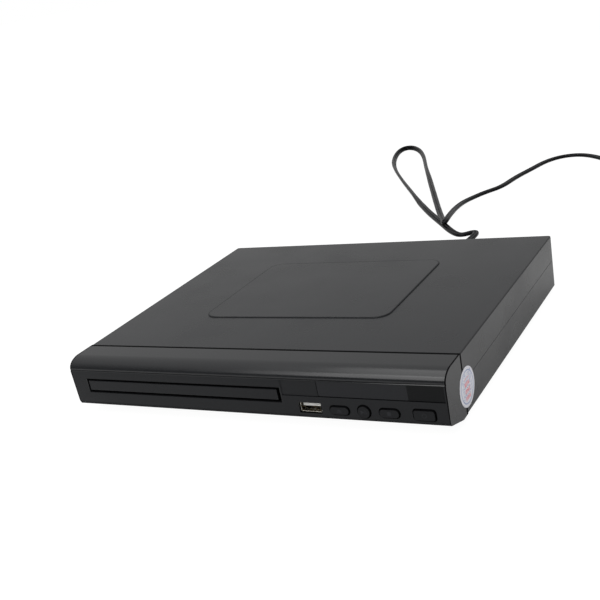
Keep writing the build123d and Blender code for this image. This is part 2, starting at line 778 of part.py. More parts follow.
def loader_frame():
    """Main loader moulding: floor with the deck window, guide walls, ledges, gear posts and motor cup."""
    x0, x1 = loader_x0, loader_x1
    y0, y1 = loader_front, loader_back
    ledge_top = rail_under - ledge_gap
    frame = box(x0, x1, y0, y1, loader_floor_z, loader_floor_top)
    for x in (x0, x1 - frame_wall):
        frame += box(x, x + frame_wall, y0, y1, loader_floor_z, loader_top)
        frame += box(x, x + frame_wall, loader_step_y, y1, loader_foot_z, loader_floor_z)
    frame += box(x0, x0 + frame_wall + left_ledge_w, y0, y1, ledge_top - ledge_t, ledge_top)
    frame += box(x1 - frame_wall - right_ledge_w, x1, y0, y1, ledge_top - ledge_t, ledge_top)
    frame += box(x0, x1, y0, y0 + cross_t, loader_floor_z - loader_lip_h, loader_floor_top)
    frame += box(x0, x1, y1 - cross_t, y1, loader_foot_z, tray_top)
    for y in hold_y:
        frame += box(x0, x0 + frame_wall + hold_w, y, y + hold_l, tray_top + ledge_gap, loader_top)
        frame += box(x1 - frame_wall - hold_w, x1, y, y + hold_l, tray_top + ledge_gap, loader_top)
    half = deck_window_w / 2
    frame -= box(disc_x - half, disc_x + half, deck_window_y0, deck_window_y1, loader_foot_z - 1, loader_floor_top + 1)
    for x, y in ear_points():
        ear = box(x - ear_w / 2, x + ear_w / 2, y - ear_l / 2, y + ear_l / 2, loader_floor_z, loader_floor_top)
        frame += ear - post(x, y, loader_floor_z - 1, loader_floor_top + 1, screw_r + screw_fit)
    for side in (-1, 1):
        inner = disc_x + side * (lift_w / 2 + pivot_gap)
        outer = inner + side * pivot_ear_t
        ear = box(min(inner, outer), max(inner, outer), pivot_y - 4, pivot_y + 4, loader_foot_z, loader_floor_top + 2)
        frame += ear
        frame -= bar_x(pivot_y, pivot_z, min(inner, outer) - 1, max(inner, outer) + 1, pivot_r + pivot_fit)
    frame += post(motor_x, motor_y, loader_floor_z, motor_z[1] + motor_cup_t, motor_r + 2)
    frame -= post(motor_x, motor_y, loader_floor_z - 1, motor_z[1], motor_r + motor_fit)
    frame -= post(motor_x, motor_y, motor_z[1] - 1, motor_z[1] + motor_cup_t + 1, motor_nose_r + motor_fit)
    for x, y in ((drive_x, gear_y), (pulley_x, pulley_y)):
        frame += post(x, y, loader_floor_top, reduce_gear_z[0] - 0.2, gear_bore_r + 1.6)
        frame += post(x, y, loader_floor_top, rack_gear_z[1], gear_bore_r)
    return frame


def loader_screws():
    """Screws through the loader's four ears, heads up."""
    depth = 6.0
    found = []
    for x, y in ear_points():
        head = post(x, y, loader_floor_top, loader_floor_top + screw_head_h, screw_head_r)
        found.append(head + post(x, y, loader_floor_top - depth, loader_floor_top, screw_r))
    return found


# ---- tray drive ----
def drive_gear():
    """Two stacked gears: the upper meets the rack, the lower the pulley gear's pinion."""
    body = gear(drive_teeth, drive_x, gear_y, *rack_gear_z, 0)
    body += post(drive_x, gear_y, reduce_gear_z[1], rack_gear_z[0], gear_bore_r + 2.4)
    body += gear(reduce_teeth, drive_x, gear_y, *reduce_gear_z, train_angle)
    return body - post(drive_x, gear_y, reduce_gear_z[0] - 1, rack_gear_z[1] + 1, gear_bore_r + gear_fit)


def pulley(x, y, groove, rim, z0, z1):
    """A grooved pulley: a core between two thin rims."""
    return post(x, y, z0, z1, groove) + post(x, y, z0, z0 + rim_t, rim) + post(x, y, z1 - rim_t, z1, rim)


def pulley_gear():
    body = pulley(pulley_x, pulley_y, pulley_groove_r, pulley_rim_r, *rack_gear_z)
    body += post(pulley_x, pulley_y, reduce_gear_z[1], rack_gear_z[0], gear_bore_r + 2)
    body += gear(pinion_teeth, pulley_x, pulley_y, *reduce_gear_z, train_angle + 180 + 180 / pinion_teeth)
    return body - post(pulley_x, pulley_y, reduce_gear_z[0] - 1, rack_gear_z[1] + 1, gear_bore_r + gear_fit)


def loading_motor():
    body = post(motor_x, motor_y, *motor_z, motor_r)
    body += post(motor_x, motor_y, motor_z[1], motor_z[1] + motor_cup_t, motor_nose_r)
    return body - post(motor_x, motor_y, motor_z[1] - 4, motor_z[1] + motor_cup_t + 1, motor_shaft_r + gear_fit)


def motor_shaft():
    return post(motor_x, motor_y, motor_z[1] - 3.8, rack_gear_z[1], motor_shaft_r)


def motor_pulley():
    body = pulley(motor_x, motor_y, motor_groove_r, motor_rim_r, *rack_gear_z)
    return body - post(motor_x, motor_y, rack_gear_z[0] - 1, rack_gear_z[1] + 1, motor_shaft_r)


def belt_outline(offset):
    big = Pos(pulley_x, pulley_y) * CenterArc((0, 0), pulley_groove_r + belt_fit + offset, 0, 360)
    small = Pos(motor_x, motor_y) * CenterArc((0, 0), motor_groove_r + belt_fit + offset, 0, 360)
    return make_hull([big.edges()[0], small.edges()[0]])


def drive_belt():
    """Square rubber belt in the grooves of both pulleys."""
    z0 = rack_gear_z[0] + rim_t + belt_fit
    z1 = rack_gear_z[1] - rim_t - belt_fit
    return Pos(0, 0, z0) * extrude(belt_outline(belt_t) - belt_outline(0), z1 - z0)


# ---- clamp over the disc ----
def clamp_bridge():
    """Sheet bridge on the guide walls with a hole for the clamper and two stiffening ribs."""
    z0 = loader_top
    sheet = box(loader_x0, loader_x1, *bridge_y, z0, z0 + bridge_t)
    for y in bridge_y:
        inner = y if y == bridge_y[0] else y - bridge_t
        sheet += box(loader_x0 + 6, loader_x1 - 6, inner, inner + bridge_t, z0, z0 + bridge_t + bridge_rib_h)
    return sheet - post(disc_x, disc_y, z0 - 1, z0 + bridge_t + 1, bridge_hole_r)


def clamper_pad():
    """Lower half of the clamper: the pad that meets the disc, with a neck through the bridge."""
    neck_top = loader_top + bridge_t + clamper_gap
    pad = post(disc_x, disc_y, clamper_z, clamper_z + clamper_pad_t, clamper_pad_r)
    pad += post(disc_x, disc_y, clamper_z, neck_top, clamper_neck_r)
    pad -= post(disc_x, disc_y, clamper_z - 1, clamper_z + 1.0, hub_r + 1)
    return pad - post(disc_x, disc_y, neck_top - magnet_t - magnet_fit, neck_top + 1, magnet_r + magnet_fit)


def clamper_magnet():
    neck_top = loader_top + bridge_t + clamper_gap
    z0 = neck_top - magnet_t - magnet_fit
    return tube(disc_x, disc_y, z0, z0 + magnet_t, magnet_r, magnet_bore_r)


def clamper_cap():
    neck_top = loader_top + bridge_t + clamper_gap
    cap = post(disc_x, disc_y, neck_top, neck_top + clamper_cap_t, clamper_cap_r)
    return chamfer(cap.faces().sort_by(Axis.Z)[-1].edges(), clamper_cap_t / 2)


# ---- lifting deck ----
def lift_frame():
    """Tipping frame: pivots at the rear and rides on two pins in the slider's cam slots at the front."""
    half = lift_w / 2
    frame = box(disc_x - half, disc_x + half, lift_y0, lift_y1, lift_z0, lift_top)
    frame -= box(disc_x + lift_window_x[0], disc_x + lift_window_x[1], *lift_window_y, lift_z0 - 1, lift_top + 1)
    for side in (-1, 1):
        start = disc_x + side * (half - 2)
        end = disc_x + side * (half + pivot_gap + pivot_ear_t - 0.4)
        frame += bar_x(pivot_y, pivot_z, min(start, end), max(start, end), pivot_r)
        frame += bar_y(disc_x + side * cam_pin_x, pivot_z, slider_y0 - 0.2, lift_y0 + 2, cam_pin_r)
    for x, y in damper_points():
        frame -= post(x, y, lift_z0 - 1, lift_top + 1, screw_r + screw_fit)
    return frame


def cam_drop():
    return (pivot_y - slider_y0 - slider_t / 2) * math.sin(math.radians(lift_front_drop))


def lift_slider():
    """Cross slider with two sloping cam slots."""
    bar = box(disc_x + slider_x[0], disc_x + slider_x[1], slider_y0, slider_y0 + slider_t, *slider_z)
    gap = cam_pin_r + cam_gap
    for side in (-1, 1):
        x = disc_x + side * cam_pin_x
        low_x, low_z = x - slider_travel, pivot_z - cam_drop()
        slope = [(low_x, low_z - gap), (x, pivot_z - gap), (x, pivot_z + gap), (low_x, low_z + gap)]
        bar -= prism_y(slope, slider_y0 - 1, slider_y0 + slider_t + 1)
        bar -= bar_y(x, pivot_z, slider_y0 - 1, slider_y0 + slider_t + 1, gap)
        bar -= bar_y(low_x, low_z, slider_y0 - 1, slider_y0 + slider_t + 1, gap)
    return bar


def damper_points():
    return [(disc_x + side * damper_x, y) for y in damper_y for side in (-1, 1)]


def deck_dampers():
    """Rubber grommets that carry the plate."""
    top = plate_top + damper_gap
    found = []
    for x, y in damper_points():
        ring = post(x, y, lift_top, plate_z0, damper_r) + post(x, y, plate_top, top, damper_r)
        ring += post(x, y, lift_top, top, damper_neck_r)
        found.append(ring - post(x, y, lift_top - 1, top + 1, screw_r + screw_fit))
    return found


def deck_screws():
    top = plate_top + damper_gap
    return [post(x, y, lift_z0, top, screw_r) + post(x, y, top, top + 1.2, screw_head_r) for x, y in damper_points()]


# ---- reading deck ----
def traverse_plate():
    """Steel plate with the sled window and folded-up clips for both rods."""
    half = plate_w / 2
    plate = box(disc_x - half, disc_x + half, *plate_y, plate_z0, plate_top)
    plate -= box(disc_x + plate_window_x[0], disc_x + plate_window_x[1], *plate_window_y, plate_z0 - 1, plate_top + 1)
    for x, y in damper_points():
        plate -= post(x, y, plate_z0 - 1, plate_top + 1, damper_neck_r + damper_fit)
    for x in (disc_x + rod_left_x, disc_x + rod_right_x):
        for y in (rod_y[0], rod_y[1] - clip_l):
            plate += box(x - clip_w / 2, x + clip_w / 2, y, y + clip_l, plate_z0, rod_z + rod_r + 0.8)
            plate -= bar_y(x, rod_z, y - 1, y + clip_l + 1, rod_r + rod_fit)
    return plate


def guide_rods():
    return [bar_y(disc_x + x, rod_z, *rod_y, rod_r) for x in (rod_left_x, rod_right_x)]


def spindle_motor():
    body = post(disc_x, disc_y, plate_top, plate_top + spindle_motor_h, spindle_motor_r)
    return body - post(disc_x, disc_y, plate_top + 1, table_z, spindle_shaft_r + gear_fit)


def spindle_shaft():
    return post(disc_x, disc_y, plate_top + 1.2, table_z + table_t, spindle_shaft_r)


def turntable():
    """Disc seat with a tapered centring hub."""
    seat = post(disc_x, disc_y, table_z, table_z + table_t, table_r)
    hub = post(disc_x, disc_y, table_z + table_t, table_z + table_t + hub_h, hub_r)
    hub = chamfer(hub.faces().sort_by(Axis.Z)[-1].edges(), hub_taper)
    return seat + hub - post(disc_x, disc_y, table_z - 1, table_z + table_t, spindle_shaft_r)


def pickup_sled():
    """Die-cast sled: body, bearing on the left rod, fork on the right rod and a nut arm over the screw."""
    y0, y1 = sled_y, sled_y + sled_l
    z0, z1 = sled_z
    body = box(disc_x - sled_half_w, disc_x + sled_half_w, y0, y1, z0, z1)
    left = disc_x + rod_left_x
    mid = (y0 + y1) / 2
    body += box(left - sled_bearing_w / 2, disc_x - sled_half_w, mid - sled_bearing_l / 2, mid + sled_bearing_l / 2,
                rod_z - 2.4, z1 - 0.6)
    body -= bar_y(left, rod_z, y0 - 1, y1 + 1, rod_r + rod_fit)
    right = disc_x + rod_right_x
    body += box(disc_x + sled_half_w, right + 2.4, mid - 4, mid + 4, rod_z - rod_r - 1.6, rod_z - rod_r - nut_gap)
    arm_end = disc_x + screw_x + lead_r
    body += box(disc_x + sled_half_w, arm_end, mid - 4, mid + 4, rod_z + rod_r + nut_gap, z1)
    body += box(arm_end - 2 * lead_r, arm_end, mid - 4, mid + 4, lead_z + lead_r + nut_gap, z1)
    half = lens_housing_w / 2
    body += box(disc_x - half, disc_x + half, lens_y - lens_housing_l / 2, lens_y + lens_housing_l / 2, z1, lens_housing_top)
    return body - post(disc_x, lens_y, lens_housing_top - 1.4, lens_housing_top + 1, lens_r + 0.1)


def pickup_lens():
    lens = post(disc_x, lens_y, lens_housing_top - 1.4, lens_housing_top, lens_r)
    dome_r = (lens_r ** 2 + lens_dome ** 2) / (2 * lens_dome)
    ball = Pos(disc_x, lens_y, lens_housing_top + lens_dome - dome_r) * Sphere(dome_r)
    return lens + (ball & post(disc_x, lens_y, lens_housing_top, lens_housing_top + 1, lens_r))


def lead_screw():
    return bar_y(disc_x + screw_x, lead_z, *lead_y, lead_r)


def sled_motor():
    """Small can motor at the screw's rear end, in a saddle on the plate."""
    x = disc_x + screw_x
    y0 = lead_y[1] + 0.2
    body = bar_y(x, lead_z, y0, y0 + sled_motor_l, sled_motor_r)
    return body - box(x - 5, x + 5, plate_window_y[1], y0 + sled_motor_l + 1, plate_z0 - 3, plate_top)


# ---- boards ----
def board_posts():
    found = []
    x0, x1 = boards_x
    for y0, y1 in (main_board_y, power_board_y):
        inset = standoff_in
        found += [(x, y) for y in (y0 + inset, y1 - inset) for x in (x0 + inset, x1 - inset)]
    return found


def board(y_range):
    sheet = box(*boards_x, *y_range, board_z, board_top)
    for x, y in board_posts():
        sheet -= post(x, y, board_z - 1, board_top + 1, screw_r + screw_fit)
    return sheet


def board_screws():
    """Screws that hold both flat boards on their posts."""
    found = []
    for x, y in board_posts():
        found.append(post(x, y, board_top, board_top + 1.6, 2.4) + post(x, y, board_top - 5, board_top, screw_r))
    return found


def along_board(away):
    """A distance from the boards' left edge, or from their right edge where it is negative."""
    return boards_x[0 if away >= 0 else 1] + away * board_scale


def on_board(x_range, y_range, height):
    """A block standing on the boards; its X range is measured as along_board does."""
    return box(along_board(x_range[0]), along_board(x_range[1]), *y_range, board_top, board_top + height)


def board_chips():
    """Decoder, memory and two drivers of the main board."""
    y0 = main_board_y[0]
    return [
        on_board((-46, -26), (y0 + 28, y0 + 48), 1.6),
        on_board((-20, -10), (y0 + 30, y0 + 44), 1.2),
        on_board((4, 12), (y0 + 24, y0 + 40), 2.2),
        on_board((-20, -8), (y0 + 10, y0 + 17), 2.0),
    ]


def board_sockets():
    """Plug-in sockets along the boards' edges."""
    y0, y1 = main_board_y[0], power_board_y[1]
    return [
        on_board((2, 6), (y0 + 10, y0 + 22), 5),
        on_board((2, 7), (y0 + 46, y0 + 58), 6),
        on_board((19, 33), (y0 + 2, y0 + 6), 5),
        on_board((19, 33), (y1 - 7, y1 - 2), 6),
        on_board((2, 9), (mains_y - 4, mains_y + 5), 7),
    ]


def transformer():
    """Switching transformer: a wound bobbin between two ferrite halves."""
    y0 = power_board_y[0] + 32
    core = on_board((-40, -20), (y0, y0 + 18), 17)
    core -= Pos(0, 0, 4) * on_board((-35, -25), (y0 - 1, y0 + 19), 9)
    bobbin = Pos(0, 0, 4.2) * on_board((-34.8, -25.2), (y0 - 3.5, y0 + 21.5), 8.6)
    return [core, bobbin]


def capacitor(x, y, radius, height):
    can = post(along_board(x), y, board_top, board_top + height, radius * board_scale)
    return chamfer(can.faces().sort_by(Axis.Z)[-1].edges(), 0.5)


def capacitors():
    """Input and output filter capacitors, standing."""
    y0, y1 = power_board_y
    return [
        capacitor(20, y0 + 16, 6.3, 17),
        capacitor(36, y0 + 12, 4, 12),
        capacitor(-24, y0 + 12, 4, 12),
        capacitor(-12, y0 + 14, 5, 15),
        capacitor(-10, y1 - 18, 4, 11),
        capacitor(14, main_board_y[0] + 60, 4, 9),
    ]


def front_cable():
    """Flat cable from the front board, under the roof, to the main board's socket."""
    roof = case_h - wall - cable_roof_gap
    start = front_board_y + board_t
    end = main_board_y[0] + 4
    line = [(start, 16.0), (start + 3, 16.0), (start + 8, roof), (end - 12, roof), (end - 3, 20.0), (end, board_top + 5)]
    return prism_x(strip_points(line, cable_t), *cable_x)


# ---- rear ----
def rear_inside():
    """The inner face of the rear wall at the height of the sockets."""
    return case_d - side_draft * (1 - jack_z / case_h) - wall


def av_jack_block():
    """Socket housing against the inside of the rear wall, with an insulating core in each socket."""
    back = rear_inside() - 0.4
    block = box(jack_x[0] - 7.5, jack_x[-1] + 7.5, back - jack_block_d, back, board_top, board_top + jack_block_h)
    for x in jack_x:
        block += bar_y(x, jack_z, back, case_d + jack_l - 1.2, jack_bore_r)
        block -= bar_y(x, jack_z, back - 6, case_d + jack_l, jack_pin_bore_r)
    return block


def av_jack_barrels():
    found = []
    for x in jack_x:
        barrel = bar_y(x, jack_z, rear_inside() - 0.4, case_d + collar_l, jack_root_r)
        barrel += bar_y(x, jack_z, case_d + collar_l, case_d + jack_l, jack_r)
        found.append(barrel - bar_y(x, jack_z, case_d - 9, case_d + jack_l + 1, jack_bore_r))
    return found


def av_jack_collars():
    """Coloured rings round the sockets, on the outside of the rear wall."""
    y1 = case_d + collar_l
    return [bar_y(x, jack_z, case_d, y1, collar_r) - bar_y(x, jack_z, case_d - 1, y1 + 1, jack_root_r) for x in jack_x]


# ---- mains cord ----
def cord_bushing():
    """Moulded strain relief, waisted where it sits in the rear wall."""
    back = case_d - side_draft * (1 - cord_z / case_h)
    front = back - wall - bushing_ease
    rear = back + bushing_ease
    inner = bar_y(cord_x, cord_z, front - bushing_in, front, bushing_r)
    waist = bar_y(cord_x, cord_z, front, rear, bushing_r - bushing_groove)
    flange = bar_y(cord_x, cord_z, rear, rear + bushing_flange_t, bushing_r)
    start = Plane(origin=(cord_x, rear + bushing_flange_t, cord_z), x_dir=(1, 0, 0), z_dir=(0, 1, 0))
    end = Plane(origin=(cord_x, exit_y, cord_z), x_dir=(1, 0, 0), z_dir=(0, 1, 0))
    sleeve = loft([start * Circle(bushing_r * 0.85), end * Circle(cord_d / 2 + 0.7)])
    return inner + waist + flange + sleeve


def mains_leads():
    """The cord's two inner wires, from the bushing to the power board's socket."""
    y = case_d - side_draft * (1 - cord_z / case_h) - wall - bushing_ease - bushing_in
    found = []
    for side in (-1, 1):
        x = cord_x + side * 1.2
        lane = boards_x[0] - 3.0 + side * 1.1
        end_y = mains_y + side * 2
        points = [(x, y, cord_z), (x, y - 4, cord_z), (lane, y - 16, 5), (lane, mains_y + 13, 5)]
        points += [(lane, end_y, board_top + 3), (boards_x[0] + 2, end_y, board_top + 3)]
        path = FilletPolyline(*points, radius=1.6)
        found.append(sweep(Plane(origin=path @ 0, z_dir=path % 0) * Circle(lead_wire_r), path=path))
    return found


def corner_radii(points):
    """For each inner point, the largest arc that its two runs allow: 0.45 of the shorter one."""
    found = []
    for before, here, after in zip(points, points[1:], points[2:]):
        run_in = Vector(*here) - Vector(*before)
        run_out = Vector(*after) - Vector(*here)
        turn = math.radians(run_in.get_angle(run_out))
        found.append(0.45 * min(run_in.length, run_out.length) / math.tan(turn / 2))
    return found


def cord_points():
    start = (cord_x, exit_y, cord_z)
    return [start] + [(x, y, z - foot_h) for x, y, z in cord_route]


def power_cord():
    points = cord_points()
    radii = corner_radii(points)
    path = FilletPolyline(*points, radius=radii)
    section = Plane(origin=path @ 0, z_dir=path % 0) * Circle(cord_d / 2)
    cord = sweep(section, path=path)
    print("cord radii", [round(r, 1) for r in radii])
    print("cord length", round(path.length, 1), "volume", round(cord.volume, 1),
          "section x length", round(section.area * path.length, 1))
    return cord


def plug_plane():
    """Plane at the cord's end, looking along the plug."""
    last = Vector(*cord_points()[-1])
    direction = last - Vector(*cord_points()[-2])
    return Plane(origin=last, x_dir=Vector(direction.Y, -direction.X, 0), z_dir=direction)


def plug_body():
    """Moulded plug: a flared neck that runs into a rounded block."""
    plane = plug_plane()
    neck = plane * Cone(cord_d / 2 + 1.0, plug_h * 0.42, plug_neck_l + 2, align=(Align.CENTER, Align.CENTER, Align.MIN))
    block = plane.offset(plug_l) * RectangleRounded(plug_w, plug_h, plug_h * 0.3)
    return neck + extrude(block, -(plug_l - plug_neck_l), taper=7)


def plug_blades():
    plane = plug_plane().offset(plug_l)
    return [plane * Pos(side * blade_pitch / 2, 0, blade_l / 2) * Box(blade_t, blade_w, blade_l) for side in (-1, 1)]


# ---- sticker ----
def side_sticker():
    """Round sticker on the right side, across the joint between front panel and case."""
    lean = math.degrees(math.atan(side_draft / case_h))
    x = case_w / 2 - side_draft * (1 - sticker_z / case_h)
    return Pos(x, sticker_y, sticker_z) * Rot(0, 90 + lean, 0) * Cylinder(
        sticker_r, sticker_t, align=(Align.CENTER, Align.CENTER, Align.MIN))


nodes = {
    "top_cover": top_cover(),
    "bottom_case": bottom_case(),
    "front_bezel": front_bezel(),
    "display_lens": display_lens(),
    "tray_door": tray_door(),
    "disc_tray": disc_tray(),
    "loader_frame": loader_frame(),
    "clamp_bridge": clamp_bridge(),
    "clamper_pad": clamper_pad(),
    "clamper_magnet": clamper_magnet(),
    "clamper_cap": clamper_cap(),
    "lift_frame": lift_frame(),
    "lift_slider": lift_slider(),
    "traverse_plate": traverse_plate(),
    "deck_dampers": deck_dampers(),
    "deck_screws": deck_screws(),
    "spindle_motor": spindle_motor(),
    "spindle_shaft": spindle_shaft(),
    "turntable": turntable(),
    "guide_rods": guide_rods(),
    "pickup_sled": pickup_sled(),
    "pickup_lens": pickup_lens(),
    "lead_screw": lead_screw(),
    "sled_motor": sled_motor(),
    "loading_motor": loading_motor(),
    "motor_shaft": motor_shaft(),
    "motor_pulley": motor_pulley(),
    "drive_belt": drive_belt(),
    "pulley_gear": pulley_gear(),
    "drive_gear": drive_gear(),
    "front_board": front_board(),
    "tact_switches": tact_switches(),
    "display_module": display_module(),
    "ir_receiver": ir_receiver(),
    "usb_shell": usb_shell(),
    "usb_tongue": usb_tongue(),
    "main_board": board(main_board_y),
    "power_board": board(power_board_y),
    "board_chips": board_chips(),
    "board_sockets": board_sockets(),
    "transformer": transformer(),
    "capacitors": capacitors(),
    "front_cable": front_cable(),
    "mains_leads": mains_leads(),
    "av_jack_block": av_jack_block(),
    "av_jack_barrels": av_jack_barrels(),
    "av_jack_collars": av_jack_collars(),
    "cord_bushing": cord_bushing(),
    "power_cord": power_cord(),
    "plug_body": plug_body(),
    "plug_blades": plug_blades(),
    "rubber_feet": rubber_feet(),
    "case_screws": case_screws(),
    "loader_screws": loader_screws(),
    "board_screws": board_screws(),
    "side_sticker": side_sticker(),
}
for node, share, width, height, radius in keys:
    nodes[node] = front_key(share, width, height, radius)

os.makedirs("parts", exist_ok=True)
for node, shape in nodes.items():
    solids = shape if isinstance(shape, list) else [shape]
    placed = [solid for one in solids for solid in (to_part_frame * one).solids()]
    export_step(Compound(placed) if len(placed) > 1 else placed[0], f"parts/{node}.step")
print("nodes", len(nodes), "shift", to_part_frame.position)
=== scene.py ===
"""Compact disc player with a motor-driven tray, dressed around its CAD frame.

Lengths are metres, +Z is up and the front faces -Y. The object stands on the floor at Z = 0.
"""

import math

import bmesh
import bpy
from mathutils import Matrix, Vector


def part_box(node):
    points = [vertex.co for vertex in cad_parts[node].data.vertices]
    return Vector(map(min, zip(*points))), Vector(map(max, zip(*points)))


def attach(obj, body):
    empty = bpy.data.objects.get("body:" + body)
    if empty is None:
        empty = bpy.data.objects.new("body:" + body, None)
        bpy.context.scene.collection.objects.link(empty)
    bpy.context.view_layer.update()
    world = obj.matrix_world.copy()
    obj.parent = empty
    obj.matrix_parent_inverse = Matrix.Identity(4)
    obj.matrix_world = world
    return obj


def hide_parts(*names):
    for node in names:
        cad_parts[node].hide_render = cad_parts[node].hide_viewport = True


bl_info = {
    "name": "Disc player with tray",
    "version": (1, 0, 0),
    "blender": (4, 5, 0),
    "location": "View3D > Sidebar > Player",
    "description": "Builds the visible pieces of a disc player with a loading tray",
    "category": "Object",
}

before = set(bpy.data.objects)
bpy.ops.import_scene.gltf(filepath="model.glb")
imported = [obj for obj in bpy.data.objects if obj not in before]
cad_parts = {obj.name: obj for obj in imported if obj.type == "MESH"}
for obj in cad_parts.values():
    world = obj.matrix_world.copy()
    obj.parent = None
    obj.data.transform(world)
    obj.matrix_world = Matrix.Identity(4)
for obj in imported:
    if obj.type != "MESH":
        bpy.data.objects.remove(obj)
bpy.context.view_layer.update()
MM = 0.001
X, Y, Z = Vector((1, 0, 0)), Vector((0, 1, 0)), Vector((0, 0, 1))


def low(node):
    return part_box(node)[0]


def high(node):
    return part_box(node)[1]


# ---------------------------------------------------------------- colours and shader nodes
def linear(colour):
    """An sRGB hex value as linear red, green, blue and alpha."""
    parts = [int(colour[i : i + 2], 16) / 255 for i in (1, 3, 5)]
    return (*[c / 12.92 if c <= 0.04045 else ((c + 0.055) / 1.055) ** 2.4 for c in parts], 1.0)


def add_node(tree, kind, settings=None, inputs=None):
    """Adds one node. An input is given a value, or an output socket to link to."""
    made = tree.nodes.new(kind)
    for key, value in (settings or {}).items():
        setattr(made, key, value)
    for key, value in (inputs or {}).items():
        if isinstance(value, bpy.types.NodeSocket):
            tree.links.new(value, made.inputs[key])
        else:
            made.inputs[key].default_value = value
    return made


def bare_finish(name, colour, inputs):
    """A material with one Principled shader: returns it with its tree, its shader and Object coordinates."""
    made = bpy.data.materials.new(name)
    made.use_nodes = True
    tree = made.node_tree
    tree.nodes.clear()
    shader = add_node(tree, "ShaderNodeBsdfPrincipled", None, {"Base Color": linear(colour), **inputs})
    add_node(tree, "ShaderNodeOutputMaterial", None, {"Surface": shader.outputs["BSDF"]})
    return made, tree, shader, add_node(tree, "ShaderNodeTexCoord").outputs["Object"]


def combined(tree, how, first, second):
    """Two numbers or sockets put through one Math operation."""
    return add_node(tree, "ShaderNodeMath", {"operation": how}, {0: first, 1: second}).outputs[0]


def mottle(tree, place, size_mm, detail=2.0):
    """Noise whose blotches are about size_mm across."""
    scale = 1 / (size_mm * MM)
    return add_node(tree, "ShaderNodeTexNoise", None,
                    {"Vector": place, "Scale": scale, "Detail": detail}).outputs["Fac"]


def banded(tree, place, axis, period_mm):
    """Straight bands across an axis, one every period_mm."""
    scale = 2 * math.pi / (20 * period_mm * MM)
    return add_node(tree, "ShaderNodeTexWave", {"bands_direction": axis},
                    {"Vector": place, "Scale": scale}).outputs["Fac"]


def between(tree, factor, low_value, high_value, reach=(0.3, 0.7)):
    """A factor spread over reach and set between two numbers."""
    limits = {"From Min": reach[0], "From Max": reach[1], "To Min": low_value, "To Max": high_value}
    return add_node(tree, "ShaderNodeMapRange", None, {"Value": factor, **limits}).outputs["Result"]


def blended(tree, factor, first, second):
    """Two colours, each a hex value or a socket, mixed by a factor."""
    pick = {}
    for key, colour in ((6, first), (7, second)):
        pick[key] = linear(colour) if isinstance(colour, str) else colour
    return add_node(tree, "ShaderNodeMix", {"data_type": "RGBA"}, {0: factor, **pick}).outputs[2]


def raised(tree, shader, height, depth_mm, strength=1.0):
    """Sends a height through a bump of depth_mm into the shader."""
    bump = add_node(tree, "ShaderNodeBump", None,
                    {"Height": height, "Distance": depth_mm * MM, "Strength": strength})
    tree.links.new(bump.outputs["Normal"], shader.inputs["Normal"])


def inside_box(tree, place, x=None, y=None, z=None):
    """1 inside the given ranges of the coordinates, in millimetres, and 0 outside."""
    split = add_node(tree, "ShaderNodeSeparateXYZ", None, {"Vector": place})
    found = None
    for axis, limits in (("X", x), ("Y", y), ("Z", z)):
        if limits is None:
            continue
        middle, half = (limits[0] + limits[1]) / 2 * MM, abs(limits[1] - limits[0]) / 2 * MM
        inputs = {0: split.outputs[axis], 1: middle, 2: half}
        test = add_node(tree, "ShaderNodeMath", {"operation": "COMPARE"}, inputs).outputs[0]
        found = test if found is None else combined(tree, "MULTIPLY", found, test)
    return found


def moulded_plastic(name, colour, roughness, ior, grain_mm, depth_mm, shift=0.05):
    """Injection-moulded plastic: fine eroded grain, and a gloss that wanders a little from flow and handling."""
    made, tree, shader, place = bare_finish(name, colour, {"IOR": ior})
    handling = mottle(tree, place, 38, 3.0)
    tree.links.new(between(tree, handling, roughness - shift, roughness + shift), shader.inputs["Roughness"])
    raised(tree, shader, mottle(tree, place, grain_mm, 1.0), depth_mm, 0.5)
    return made


def metal(name, colour, roughness, grain_mm, stretch=(1, 1, 1), depth_mm=0.01, tint=None):
    """Metal whose grain is drawn out along an axis by rolling, drawing or turning."""
    made, tree, shader, place = bare_finish(name, colour, {"Metallic": 1.0})
    drawn = add_node(tree, "ShaderNodeMapping", None, {"Vector": place, "Scale": stretch}).outputs["Vector"]
    grain = mottle(tree, drawn, grain_mm, 3.0)
    tree.links.new(between(tree, grain, roughness * 0.75, roughness * 1.3), shader.inputs["Roughness"])
    if tint:
        tree.links.new(blended(tree, grain, colour, tint), shader.inputs["Base Color"])
    raised(tree, shader, grain, depth_mm, 0.4)
    return made


def smoked_acrylic():
    """Cast acrylic, dyed near black: a still, deep gloss. Its right end lies over the remote sensor and is darker."""
    made, tree, shader, place = bare_finish("smoked_acrylic_moulded", "#17191d", {})
    right = high("display_lens").x / MM
    sensor = inside_box(tree, place, x=(right - 20.3, right + 1))
    tree.links.new(blended(tree, sensor, "#16171a", "#0d0e0f"), shader.inputs["Base Color"])
    tree.links.new(between(tree, sensor, 0.2, 0.42, (0, 1)), shader.inputs["Roughness"])
    tree.links.new(between(tree, sensor, 1.29, 1.21, (0, 1)), shader.inputs["IOR"])
    return made


